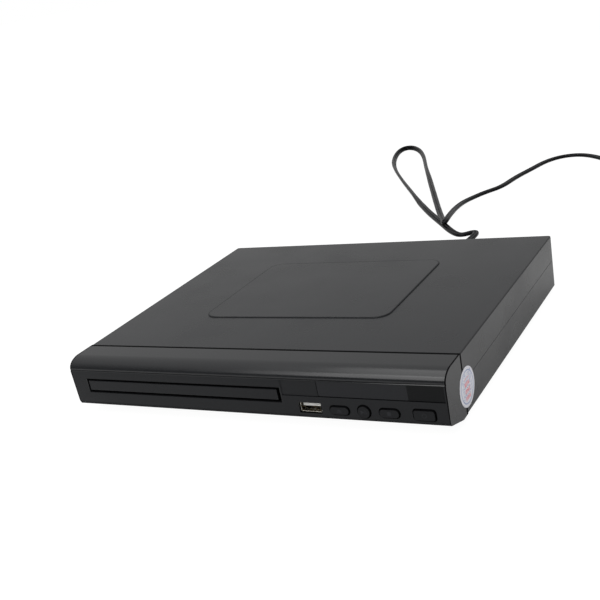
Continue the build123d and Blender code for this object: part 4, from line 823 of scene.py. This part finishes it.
class PLAYER_OT_front_keys(bpy.types.Operator):
    """The four keys, each with a plain printed symbol."""

    bl_idname = "player.front_keys"
    bl_label = "Front keys"

    def execute(self, context):
        marks = {
            "eject": [[(-1.5, -0.3), (1.5, -0.3), (0, 1.3)],
                      [(-1.5, -1.1), (1.5, -1.1), (1.5, -0.7), (-1.5, -0.7)]],
            "play": [[(-1.7, -1.2), (0.3, 0), (-1.7, 1.2)], [(0.6, -1.1), (0.95, -1.1), (0.95, 1.1), (0.6, 1.1)],
                     [(1.35, -1.1), (1.7, -1.1), (1.7, 1.1), (1.35, 1.1)]],
            "stop": [[(-1.05, -1.05), (1.05, -1.05), (1.05, 1.05), (-1.05, 1.05)]],
        }
        for key in ("eject", "play", "stop", "power"):
            node = key + "_button"
            # Painted shade: each key's faces that don't look forwards are made near black, for the shade in the gap
            # round it.
            moulded_copy(node, "key_" + key, "key_plastic", (), [("painted_gap_shade", behind_face)])
            lo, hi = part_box(node)
            centre = Vector(((lo.x + hi.x) / 2, lo.y - 0.03 * MM, 14.4 * MM))
            shape = bmesh.new()
            for outline in marks.get(key, []):
                front = [centre + Vector((x, 0.0, z)) * MM for x, z in outline]
                loft(shape, [front, [p + Y * 0.06 * MM for p in front]])
            if key == "power":
                ring = [(1.05, 0), (1.35, 0), (1.35, 0.06), (1.05, 0.06)]
                lathe(shape, ring, centre, Y, 32, True)
                stroke = [(-0.16, 0.5), (0.16, 0.5), (0.16, 1.75), (-0.16, 1.75)]
                front = [centre + Vector((x, 0.0, z)) * MM for x, z in stroke]
                loft(shape, [front, [p + Y * 0.06 * MM for p in front]])
            new_piece(key + "_symbol", shape, "key_" + key, "key_plastic", (), "key_print")
        return {"FINISHED"}


class PLAYER_OT_usb_socket(bpy.types.Operator):
    """USB socket: folded sleeve, tongue and four contacts."""

    bl_idname = "player.usb_socket"
    bl_label = "USB socket"

    def execute(self, context):
        moulded_copy("usb_shell", "case", "nickel", [(0.1 * MM, every_edge)])
        moulded_copy("usb_tongue", "case", "white_plastic", [(0.15 * MM, every_edge)])
        lo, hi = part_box("usb_tongue")
        middle = (lo.x + hi.x) / 2
        under = 14.8 * MM
        shape = bmesh.new()
        for away in (-3.5, -1.0, 1.0, 3.5):
            x = middle + away * MM
            width = 0.5 * MM
            ring = [(x - width, under - 0.12 * MM), (x + width, under - 0.12 * MM), (x + width, under),
                    (x - width, under)]
            stations = [(lo.y + 0.9 * MM, 0.1), (lo.y + 1.3 * MM, 0.0), (hi.y - 3.2 * MM, 0.0)]
            loft(shape, [[Vector((a, y, b + rise * MM)) for a, b in ring] for y, rise in stations])
        new_piece("usb_contacts", shape, "case", "nickel", (), "gold_flash")
        return {"FINISHED"}


class PLAYER_OT_tray(bpy.types.Operator):
    """Sliding disc tray."""

    bl_idname = "player.tray"
    bl_label = "Disc tray"

    def execute(self, context):
        moulded_copy("disc_tray", "tray", "tray_plastic")
        return {"FINISHED"}


class PLAYER_OT_screws(bpy.types.Operator):
    """Every screw, grown by one tree."""

    bl_idname = "player.screws"
    bl_label = "Screws"

    def execute(self, context):
        tree = screw_tree()
        for node, body, heads_up, head_mm in (("case_screws", "case", False, 1.8),
                                              ("loader_screws", "case", True, 1.8),
                                              ("board_screws", "case", True, 1.6),
                                              ("deck_screws", "deck", True, 1.2)):
            solids = solids_of(node)
            lo, hi = solids[0]
            head = head_mm * MM
            points = []
            for a, b in solids:
                seat = b.z - head if heads_up else a.z + head
                points.append(((a.x + b.x) / 2, (a.y + b.y) / 2, seat))
            values = {"Head radius": (hi.x - lo.x) / 2, "Head height": head, "Shank radius": 1.49 * MM,
                      "Shank length": hi.z - lo.z - head, "Thread pitch": sizes().thread_pitch,
                      "Turn": (0.0, 0.0, 0.6) if heads_up else (math.pi, 0.0, 0.4)}
            grown(node + "_threaded", tree, points, values, body, "screw_steel", (node,))
        return {"FINISHED"}


class PLAYER_OT_feet(bpy.types.Operator):
    """Rubber feet with a hollow tread."""

    bl_idname = "player.feet"
    bl_label = "Rubber feet"

    def execute(self, context):
        shape = bmesh.new()
        profile = [(0, 0.9), (3.6, 0.9), (4.0, 0.6), (4.2, 0.1), (4.5, 0), (5.5, 0), (6.0, 0.25), (6.3, 0.8),
                   (6.5, 1.6), (6.5, 3.0), (0, 3.0)]
        for a, b in solids_of("rubber_feet"):
            lathe(shape, profile, Vector(((a.x + b.x) / 2, (a.y + b.y) / 2, a.z)), Z)
        new_piece("rubber_feet_hollow", shape, "case", "black_rubber", ("rubber_feet",))
        return {"FINISHED"}


class PLAYER_OT_loader(bpy.types.Operator):
    """Loader frame, clamp and lifting deck: moulded parts with clean edges."""

    bl_idname = "player.loader"
    bl_label = "Loader"

    def execute(self, context):
        for node, body, slot in (
            ("loader_frame", "case", "loader_plastic"), ("clamp_bridge", "case", "steel_sheet"),
            ("clamper_pad", "clamper", "white_plastic"), ("clamper_magnet", "clamper", "magnet"),
            ("lift_frame", "deck", "loader_plastic"), ("lift_slider", "cam_slider", "white_plastic"),
            ("traverse_plate", "deck", "steel_sheet"), ("turntable", "disc_seat", "loader_plastic"),
            ("pickup_sled", "sled", "die_cast"), ("pickup_lens", "sled", "lens_clear"),
        ):
            moulded_copy(node, body, slot)
        lo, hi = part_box("clamper_cap")
        shape = bmesh.new()
        cap = [(0, 0), (15, 0), (15, 0.7), (14.6, 1.1), (13.6, 1.5), (11.5, 1.5), (11.0, 1.1), (6.5, 1.1),
               (6.0, 1.6), (5.4, 2.2), (0, 2.2)]
        lathe(shape, cap, Vector(((lo.x + hi.x) / 2, (lo.y + hi.y) / 2, lo.z)), Z, 64)
        new_piece("clamper_cap_dished", shape, "clamper", "white_plastic", ("clamper_cap",))
        shape = bmesh.new()
        damper = [(1.6, 0), (4.1, 0), (4.4, 0.3), (4.2, 0.8), (3.0, 0.85), (3.0, 1.75), (4.2, 1.8), (4.4, 2.3),
                  (4.1, 2.6), (1.6, 2.6)]
        for a, b in solids_of("deck_dampers"):
            lathe(shape, damper, Vector(((a.x + b.x) / 2, (a.y + b.y) / 2, a.z)), Z, 32, True)
        new_piece("deck_dampers_grommets", shape, "deck", "black_rubber", ("deck_dampers",))
        return {"FINISHED"}


class PLAYER_OT_tray_drive(bpy.types.Operator):
    """Drive belt in the grooves of both pulleys."""

    bl_idname = "player.tray_drive"
    bl_label = "Tray drive"

    def execute(self, context):
        big, small = [sum(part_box(n), Vector()) / 2 for n in ("pulley_gear", "motor_pulley")]
        lo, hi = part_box("drive_belt")
        height = (lo.z + hi.z) / 2
        radius_big, radius_small = 9.55 * MM, 2.75 * MM
        gap = (small - big).xy
        heading, lean = math.atan2(gap.y, gap.x), math.acos((radius_big - radius_small) / gap.length)
        line = []
        for centre, radius, start, end in ((big, radius_big, heading + lean, heading + 2 * math.pi - lean),
                                           (small, radius_small, heading - lean, heading + lean)):
            for i in range(33):
                angle = start + (end - start) * i / 32
                line.append(Vector((centre.x + radius * math.cos(angle), centre.y + radius * math.sin(angle),
                                    height)))
        shape = swept(bmesh.new(), line, oval(0.5 * MM, 0.53 * MM, 5.0, 16), Z, True)
        new_piece("drive_belt_moulded", shape, "case", "black_rubber", ("drive_belt",))
        return {"FINISHED"}


class PLAYER_OT_boards(bpy.types.Operator):
    """Flat boards' parts: chips with legs, capacitors, transformer, switches and the flat cable."""

    bl_idname = "player.boards"
    bl_label = "Boards"

    def execute(self, context):
        for node, slot in (("board_sockets", "white_plastic"), ("av_jack_block", "chip_plastic"),
                           ("front_board", "paper_board"),
                           ("tact_switches", "switch_metal"), ("ir_receiver", "chip_plastic")):
            moulded_copy(node, "case", slot)
        moulded_copy("board_chips", "case", "chip_plastic", [(0.15 * MM, every_edge)])
        moulded_copy("display_module", "case", "chip_plastic", [(0.2 * MM, every_edge)])
        tree = leg_tree()
        for side, turn in ((-1, math.pi), (1, 0.0)):
            points = []
            for a, b in solids_of("board_chips"):
                count = int((b.y - a.y - 1.2 * MM) / (1.0 * MM))
                edge = b.x if side > 0 else a.x
                for i in range(count):
                    points.append((edge, (a.y + b.y) / 2 + (i - (count - 1) / 2) * 1.0 * MM, a.z))
            label = "chip_legs_right" if side > 0 else "chip_legs_left"
            grown(label, tree, points, {"Turn": (0.0, 0.0, turn)}, "case", "switch_metal")
        shape = bmesh.new()
        for a, b in solids_of("capacitors"):
            radius, tall = (b.x - a.x) / 2 / MM, (b.z - a.z) / MM
            can = [(0, 0), (radius * 0.9, 0), (radius, 0.4), (radius, 1.4), (radius * 0.93, 1.8), (radius, 2.2),
                   (radius, tall - 0.5),
                   (radius - 0.4, tall), (radius * 0.8, tall), (radius * 0.76, tall - 0.2), (0, tall - 0.2)]
            lathe(shape, can, Vector(((a.x + b.x) / 2, (a.y + b.y) / 2, a.z)), Z, 36)
        new_piece("capacitors_crimped", shape, "case", "can_sleeve", ("capacitors",))
        coil = max(solids_of("transformer"), key=lambda b: b[1].y - b[0].y)

        def winding(normal, middle):
            return all(coil[0][i] - 0.1 * MM < middle[i] < coil[1][i] + 0.1 * MM for i in range(3))

        moulded_copy("transformer", "case", "ferrite", [(0.3 * MM, every_edge)], [("winding_tape", winding)])
        lo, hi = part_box("front_cable")
        middle, front, back = (lo.x + hi.x) / 2, lo.y, hi.y
        shape = bmesh.new()
        route = [(front, 19.4), (front + 0.003, 19.4), (front + 0.0048, 21.5), (front + 0.0075, 31.4),
                 (front + 0.013, 32.4),
                 (back - 0.02, 32.4), (back - 0.0125, 32.0), (back - 0.0055, 26.6), (back - 0.0018, 22.0),
                 (back - 0.0004, 16.6)]
        line = smooth_line([(middle, y, z * MM) for y, z in route])
        half_w, half_t = (hi.x - lo.x) / 2, 0.2 * MM
        ribbon = [(-half_w, -half_t), (half_w, -half_t), (half_w, half_t), (-half_w, half_t)]
        swept(shape, line, ribbon, X.cross(Y))
        new_piece("front_cable_ribbon", shape, "case", "flat_cable", ("front_cable",))
        return {"FINISHED"}


class PLAYER_OT_rear_sockets(bpy.types.Operator):
    """Phono sockets: nickel barrels and coloured rings."""

    bl_idname = "player.rear_sockets"
    bl_label = "Rear sockets"

    def execute(self, context):
        shape = bmesh.new()
        for a, b in solids_of("av_jack_barrels"):
            length = (b.y - a.y) / MM
            barrel = [(3.42, 0), (3.9, 0), (3.9, length - 7.0), (4.1, length - 7.0), (4.1, length - 0.3),
                      (3.95, length),
                      (3.6, length), (3.42, length - 0.25)]
            lathe(shape, barrel, Vector(((a.x + b.x) / 2, a.y, (a.z + b.z) / 2)), Y, 40, True)
        new_piece("av_jack_barrels_rolled", shape, "case", "nickel", ("av_jack_barrels",))
        looks = ("collar_plastic", "collar_white", "collar_red")
        for (a, b), look, name in zip(solids_of("av_jack_collars"), looks, ("yellow", "white", "red")):
            ring = [(3.92, 0), (5.2, 0), (5.2, 1.5), (4.9, 1.9), (4.4, 2.0), (3.92, 2.0)]
            shape = lathe(bmesh.new(), ring, Vector(((a.x + b.x) / 2, a.y, (a.z + b.z) / 2)), Y, 40, True)
            new_piece("av_jack_ring_" + name, shape, "case", "collar_plastic", ("av_jack_collars",), look)
        return {"FINISHED"}


CORD_ROUTE = [
    (24.0, 119.5, 13.0), (24.0, 127.8, 13.0), (24.2, 138.8, 10.8), (24.6, 151.8, 4.6),
    (25.3, 166.8, 1.7), (26.0, 184.8, 1.5), (27.0, 202.8, 1.5), (28.2, 217.8, 1.5), (25.0, 225.6, 1.5),
    (16.3, 216.8, 1.5), (8.5, 222.0, 1.5), (-1.8, 234.2, 1.5), (-12.5, 249.0, 1.5),
    (-26.6, 267.9, 1.5), (-44.0, 292.5, 1.5), (-65.6, 325.9, 1.5), (-90.1, 365.2, 1.5),
    (-116.8, 408.0, 1.5), (-142.8, 452.2, 1.5), (-161.2, 490.6, 1.5), (-173.7, 531.1, 1.5),
    (-173.6, 554.0, 1.5), (-161.8, 553.9, 1.5), (-144.1, 532.6, 1.5), (-125.8, 497.7, 1.5),
    (-106.1, 451.9, 1.5), (-80.7, 397.5, 1.5), (-50.7, 332.3, 1.5), (-30.7, 289.3, 1.6),
    (-19.5, 266.1, 2.4), (-10.6, 247.8, 4.0), (-7.2, 240.9, 5.6), (-6.4, 242.4, 6.9),
    (-9.0, 257.4, 6.4), (-14.0, 287.0, 4.0), (-14.9, 311.6, 2.2), (-10.6, 327.5, 1.5),
    (-3.8, 341.9, 1.5), (7.7, 357.5, 1.5), (12.3, 388.3, 1.5), (20.3, 413.8, 1.5), (27.6, 440.3, 1.5),
    (39.0, 454.8, 1.5), (54.0, 458.3, 1.5), (68.5, 451.8, 1.5), (84.0, 436.8, 1.5),
    (102.0, 415.8, 1.5), (124.0, 397.8, 1.6), (147.0, 387.3, 2.5), (168.0, 383.8, 5.0),
    (187.0, 385.2, 7.0), (204.0, 388.8, 7.0),
]
CORD_ROLLS = (
    (0.0, 0), (0.09, 0), (0.13, -35), (0.17, -20), (0.22, 45), (0.3, 62), (0.36, 30), (0.4, 62), (0.5, 68),
    (0.56, 20), (0.62, 0), (1.0, 0),
)


class PLAYER_OT_mains_cord(bpy.types.Operator):
    """Flat twin cord, its strain relief, its plug and the two leads inside the case."""

    bl_idname = "player.mains_cord"
    bl_label = "Mains cord"

    def twin_section(self):
        """Outline of the cord: two round cores joined by a web with a groove on each side."""
        half_w, half_h = sizes().cord_width / 2, sizes().cord_height / 2
        centre = half_w - half_h
        right = [math.radians(-110 + 220 * i / 8) for i in range(9)]
        lobe = [(centre + half_h * math.cos(a), half_h * math.sin(a)) for a in right]
        other = [(-x, -y) for x, y in lobe]
        return lobe + [(0.0, half_h * 0.5)] + other + [(0.0, -half_h * 0.5)]

    def rolls_along(self, line):
        """How far the flat cord is rolled onto its edge at each point of the line."""
        steps = [0.0]
        for a, b in zip(line, line[1:]):
            steps.append(steps[-1] + (b - a).length)
        found = []
        for at in steps:
            share = at / steps[-1]
            for (s0, r0), (s1, r1) in zip(CORD_ROLLS, CORD_ROLLS[1:]):
                if s0 <= share <= s1:
                    ease = (share - s0) / (s1 - s0)
                    found.append(math.radians(r0 + (r1 - r0) * ease * ease * (3 - 2 * ease)))
                    break
        return found

    def relief(self, exit_point):
        """Strain relief: waisted in the wall, then a ribbed taper that flattens to the cord."""
        lo = low("cord_bushing")
        wall_out = exit_point.y - 20.7 * MM
        stations = [(lo.y, 4.0, 4.0), (lo.y + 0.2 * MM, 4.2, 4.2), (lo.y + 3.8 * MM, 4.2, 4.2),
                    (lo.y + 4.0 * MM, 3.2, 3.2),
                    (lo.y + 6.4 * MM, 3.2, 3.2), (lo.y + 6.5 * MM, 4.2, 4.2), (lo.y + 7.9 * MM, 4.2, 4.2),
                    (lo.y + 8.1 * MM, 3.5, 3.5)]
        first, length, ribs = lo.y + 8.6 * MM, exit_point.y - lo.y - 9.2 * MM, 6
        for i in range(ribs):
            for part, inset in ((0.0, 0.0), (0.55, 0.0), (0.62, 0.55), (0.93, 0.55)):
                share = (i + part) / ribs
                stations.append((first + length * share, 3.5 - 0.3 * share - inset * 0.7,
                                 3.5 - 1.3 * share - inset))
        stations += [(exit_point.y - 0.5 * MM, 3.15, 2.15), (exit_point.y, 2.9, 1.9)]
        rings = []
        for y, half_w, half_h in stations:
            rings.append([Vector((exit_point.x + a * MM, y, exit_point.z + b * MM)) for a,
                          b in oval(half_w, half_h, 2.2, 28)])
        return loft(bmesh.new(), [ring[::-1] for ring in rings])

    def plug(self, start, ahead):
        """Moulded plug: ribbed neck, shoulders and a waisted grip with a raised rim at its face."""
        side = Vector((ahead.y, -ahead.x, 0)).normalized()
        rise = ahead.cross(side)
        stations = [(0.0, 3.0, 2.0, 2.2), (0.4, 3.5, 2.6, 2.2)]
        for i in range(5):
            at = 1.0 + i * 2.3
            wide, tall = 3.7 + 0.75 * i, 2.9 + 0.45 * i
            stations += [(at, wide, tall, 2.3), (at + 1.3, wide, tall, 2.3),
                         (at + 1.5, wide - 0.7, tall - 0.6, 2.3), (at + 2.1, wide - 0.5, tall - 0.5, 2.3)]
        stations += [(13.2, 8.2, 5.3, 2.6), (15.5, 10.0, 6.2, 3.0), (18.0, 10.9, 6.6, 3.4),
                     (23.0, 10.6, 6.2, 3.6),
                     (28.0, 11.4, 6.6, 3.8), (30.4, 11.9, 6.95, 4.0), (31.4, 11.9, 6.95, 4.0),
                     (32.0, 11.3, 6.4, 4.0)]
        rings = []
        for s, half_w, half_h, power in stations:
            rings.append([start + ahead * s * MM + side * a * MM + rise * b * MM for a,
                          b in oval(half_w, half_h, power, 36)])
        return loft(bmesh.new(), rings)

    def blades(self, start, ahead):
        """Two flat blades with rounded tips, each with a hole near its tip."""
        side = Vector((ahead.y, -ahead.x, 0)).normalized()
        rise = ahead.cross(side)
        outline = [(0, -3.15), (14.6, -3.15), (16.4, -2.5), (17.0, -1.2), (17.0, 1.2), (16.4, 2.5), (14.6, 3.15),
                   (0, 3.15)]
        data = bpy.data.curves.new("blade", "CURVE")
        data.dimensions, data.fill_mode, data.extrude, data.bevel_depth = "2D", "BOTH", 0.65 * MM, 0.1 * MM
        circle = [(12.0 + 1.6 * math.cos(i * math.pi / 8), 1.6 * math.sin(i * math.pi / 8)) for i in range(16)]
        for ring in (outline, circle):
            spline = data.splines.new("POLY")
            spline.points.add(len(ring) - 1)
            for point, (a, b) in zip(spline.points, ring):
                point.co = (a * MM * 0.985, b * MM * 0.97, 0, 1)
            spline.use_cyclic_u = True
        guide = bpy.data.objects.new("blade", data)
        bpy.context.scene.collection.objects.link(guide)
        flat = bpy.data.meshes.new_from_object(guide.evaluated_get(bpy.context.evaluated_depsgraph_get()))
        bpy.data.objects.remove(guide)
        shape = bmesh.new()
        for away in (-6.35, 6.35):
            turn = Matrix((ahead, rise, side)).transposed().to_4x4()
            place = Matrix.Translation(start + ahead * 32.0 * MM + side * away * MM) @ turn
            copy = flat.copy()
            copy.transform(place)
            shape.from_mesh(copy)
            bpy.data.meshes.remove(copy)
        bmesh.ops.remove_doubles(shape, verts=shape.verts, dist=1e-6)
        return shape

    def execute(self, context):
        route = [Vector(p) * MM for p in CORD_ROUTE]
        line = smooth_line(route)
        rolls = self.rolls_along(line)
        half_w, half_h = sizes().cord_width / 2, sizes().cord_height / 2
        line = [p + Z * (half_w - half_h) * abs(math.sin(roll)) for p, roll in zip(line, rolls)]
        shape = swept(bmesh.new(), line, self.twin_section(), rolls=rolls)
        cord = new_piece("power_cord_twin", shape, "case", "cord_cover", ("power_cord",))
        new_piece("cord_strain_relief", self.relief(route[0]), "case", "cord_cover", ("cord_bushing",))
        ahead = (route[-1] - route[-2]).normalized()
        plug = new_piece("plug_moulded", self.plug(route[-1], ahead), "case", "cord_cover", ("plug_body",))
        blades = new_piece("plug_blades_drilled", self.blades(route[-1], ahead), "case", "nickel",
                           ("plug_blades",))
        for side, look, name in ((-1, "cord_cover", "black"), (1, "lead_white", "white")):
            lane, end = (37.0 + side * 1.1), -12.2 + side * 2
            x = 24.0 + side * 1.2
            points = [(x, 92.6, 13.0), (x, 89.5, 13.0), (x + 1.5, 86.5, 11.8), (lane - 2.5, 79.5, 8.6),
                      (lane, 76.0, 8.0),
                      (lane, 60.0, 8.0), (lane, 20.0, 8.0), (lane, 4.0, 8.0), (lane, end + 1.5, 12.6),
                      (lane + 1.0, end, 14.1), (42.0, end, 14.1)]
            wire = smooth_line([Vector(p) * MM for p in points])
            shape = swept(bmesh.new(), wire, oval(0.8 * MM, 0.8 * MM, 2.0, 12))
            new_piece("mains_lead_" + name, shape, "case", "cord_cover", ("mains_leads",), look)
        return {"FINISHED"}


class PLAYER_OT_side_sticker(bpy.types.Operator):
    """Round sticker across the joint of the front panel and the case."""

    bl_idname = "player.side_sticker"
    bl_label = "Side sticker"

    def execute(self, context):
        moulded_copy("side_sticker", "case", "sticker_paper")
        return {"FINISHED"}


class PLAYER_OT_carried_nodes(bpy.types.Operator):
    """Gives every CAD node that stays in view its real finish."""

    bl_idname = "player.carried_nodes"
    bl_label = "Carried nodes"

    def execute(self, context):
        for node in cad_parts.values():
            for place in node.material_slots:
                name = place.material.name.split(".")[0] if place.material else ""
                if name in FINISHES:
                    place.material = finish(name)
        return {"FINISHED"}


# ---------------------------------------------------------------- stage
class PLAYER_OT_stage(bpy.types.Operator):
    """Floor, soft lamps and the camera at the photograph's angle."""

    bl_idname = "player.stage"
    bl_label = "Stage"

    def white_floor(self):
        """Matt floor. To the camera it is the photograph's white, with a share of its own shadow, and gloss sees
        part of that white."""
        made = bpy.data.materials.new("matt_white_floor")
        made.use_nodes = True
        tree = made.node_tree
        tree.nodes.clear()
        matt = add_node(tree, "ShaderNodeBsdfDiffuse", None, {"Color": bpy.context.scene.player_stage.floor})
        glow = add_node(tree, "ShaderNodeEmission", None, {"Color": (1, 1, 1, 1), "Strength": 1.0})
        rays = add_node(tree, "ShaderNodeLightPath")
        white_share, gloss_share, veil_share = 0.86, 0.3, 0.1
        seen = combined(tree, "MAXIMUM", rays.outputs["Is Camera Ray"],
                        combined(tree, "MULTIPLY", rays.outputs["Is Glossy Ray"], gloss_share))
        seen = combined(tree, "MAXIMUM", seen, rays.outputs["Is Transmission Ray"])
        part = combined(tree, "MULTIPLY", seen, white_share)
        mix = add_node(tree, "ShaderNodeMixShader", None, {0: part, 1: matt.outputs[0], 2: glow.outputs[0]})
        lift = combined(tree, "MULTIPLY", rays.outputs["Is Camera Ray"], veil_share)
        veil = add_node(tree, "ShaderNodeEmission", None, {"Color": (1, 1, 1, 1), "Strength": lift})
        both = add_node(tree, "ShaderNodeAddShader", None, {0: mix.outputs[0], 1: veil.outputs[0]})
        add_node(tree, "ShaderNodeOutputMaterial", None, {"Surface": both.outputs[0]})
        return made

    def execute(self, context):
        scene = context.scene
        scene.view_settings.view_transform = "Standard"
        settings = scene.player_stage
        world = bpy.data.worlds.new("studio")
        world.use_nodes = True
        tree = world.node_tree
        tree.nodes.clear()
        rays = add_node(tree, "ShaderNodeLightPath")
        white = combined(tree, "MAXIMUM", rays.outputs["Is Camera Ray"], rays.outputs["Is Transmission Ray"])
        heading = add_node(tree, "ShaderNodeTexCoord").outputs["Object"]
        way = add_node(tree, "ShaderNodeSeparateXYZ", None, {"Vector": heading}).outputs
        rising = between(tree, way["Z"], settings.surround, 1.0, (0.42, 1.0))
        facing = between(tree, way["Y"], 0.25, 1.0, (-0.9, -0.1))
        level = combined(tree, "MAXIMUM", combined(tree, "MULTIPLY", rising, facing), white)
        sky = add_node(tree, "ShaderNodeBackground", None, {"Color": (1, 1, 1, 1), "Strength": level})
        add_node(tree, "ShaderNodeOutputWorld", None, {"Surface": sky.outputs[0]})
        scene.world = world
        shape = bmesh.new()
        bmesh.ops.create_grid(shape, x_segments=1, y_segments=1, size=30.0)
        mesh = bpy.data.meshes.new("floor")
        shape.to_mesh(mesh)
        shape.free()
        mesh.materials.append(self.white_floor())
        floor = bpy.data.objects.new("floor", mesh)
        scene.collection.objects.link(floor)
        for name, at, aim, width, height, power in (
            ("front_softbox", (-0.074, -0.849, 0.914), (0, 0, 0), 1.17, 0.86, settings.key_power),
            ("overhead_softbox", (-0.2, -0.1, 0.9), (-0.2, -0.1001, 0), 0.4, 0.9, settings.overhead_power),
        ):
            data = bpy.data.lights.new(name, "AREA")
            data.shape, data.size, data.size_y, data.energy = "RECTANGLE", width, height, power
            lamp = bpy.data.objects.new(name, data)
            lamp.location = at
            lamp.rotation_mode = "QUATERNION"
            lamp.rotation_quaternion = (Vector(aim) - Vector(at)).to_track_quat("-Z", "Y")
            scene.collection.objects.link(lamp)
        data = bpy.data.cameras.new("camera")
        data.lens, data.sensor_width = 57.84, 36.0
        data.clip_start, data.clip_end = 0.01, 100.0
        camera = bpy.data.objects.new("camera", data)
        right, up, back = Vector((0.8642, 0.4624, -0.1983)), Vector((0.0059, 0.3847,
                                                                     0.9230)), Vector((0.5031, -0.7989, 0.3297))
        turned = Matrix((right, up, back)).transposed().to_4x4()
        camera.matrix_world = Matrix.Translation((0.3027, -0.5056, 0.2425)) @ turned
        scene.collection.objects.link(camera)
        scene.camera = camera
        return {"FINISHED"}


OPERATORS = (
    PLAYER_OT_stage,
    PLAYER_OT_mains_cord,
    PLAYER_OT_case_shells,
    PLAYER_OT_front_panel,
    PLAYER_OT_front_keys,
    PLAYER_OT_usb_socket,
    PLAYER_OT_tray,
    PLAYER_OT_screws,
    PLAYER_OT_feet,
    PLAYER_OT_loader,
    PLAYER_OT_tray_drive,
    PLAYER_OT_boards,
    PLAYER_OT_rear_sockets,
    PLAYER_OT_side_sticker,
    PLAYER_OT_carried_nodes,
)


class PLAYER_PT_panel(bpy.types.Panel):
    """Lists the pieces and the sizes that can be changed."""

    bl_idname = "PLAYER_PT_panel"
    bl_label = "Disc player"
    bl_space_type = "VIEW_3D"
    bl_region_type = "UI"
    bl_category = "Player"

    def draw(self, context):
        for group in (context.scene.player_sizes, context.scene.player_stage):
            for name in group.__annotations__:
                self.layout.prop(group, name)
        for kind in OPERATORS:
            self.layout.operator(kind.bl_idname)


CLASSES = (PlayerSizes, PlayerStage, *OPERATORS, PLAYER_PT_panel)


def register():
    for kind in CLASSES:
        bpy.utils.register_class(kind)
    bpy.types.Scene.player_sizes = bpy.props.PointerProperty(type=PlayerSizes)
    bpy.types.Scene.player_stage = bpy.props.PointerProperty(type=PlayerStage)


def unregister():
    del bpy.types.Scene.player_stage
    del bpy.types.Scene.player_sizes
    for kind in reversed(CLASSES):
        bpy.utils.unregister_class(kind)


def main():
    register()
    for kind in OPERATORS:
        group, name = kind.bl_idname.split(".")
        getattr(getattr(bpy.ops, group), name)()


if __name__ == "__main__":
    main()
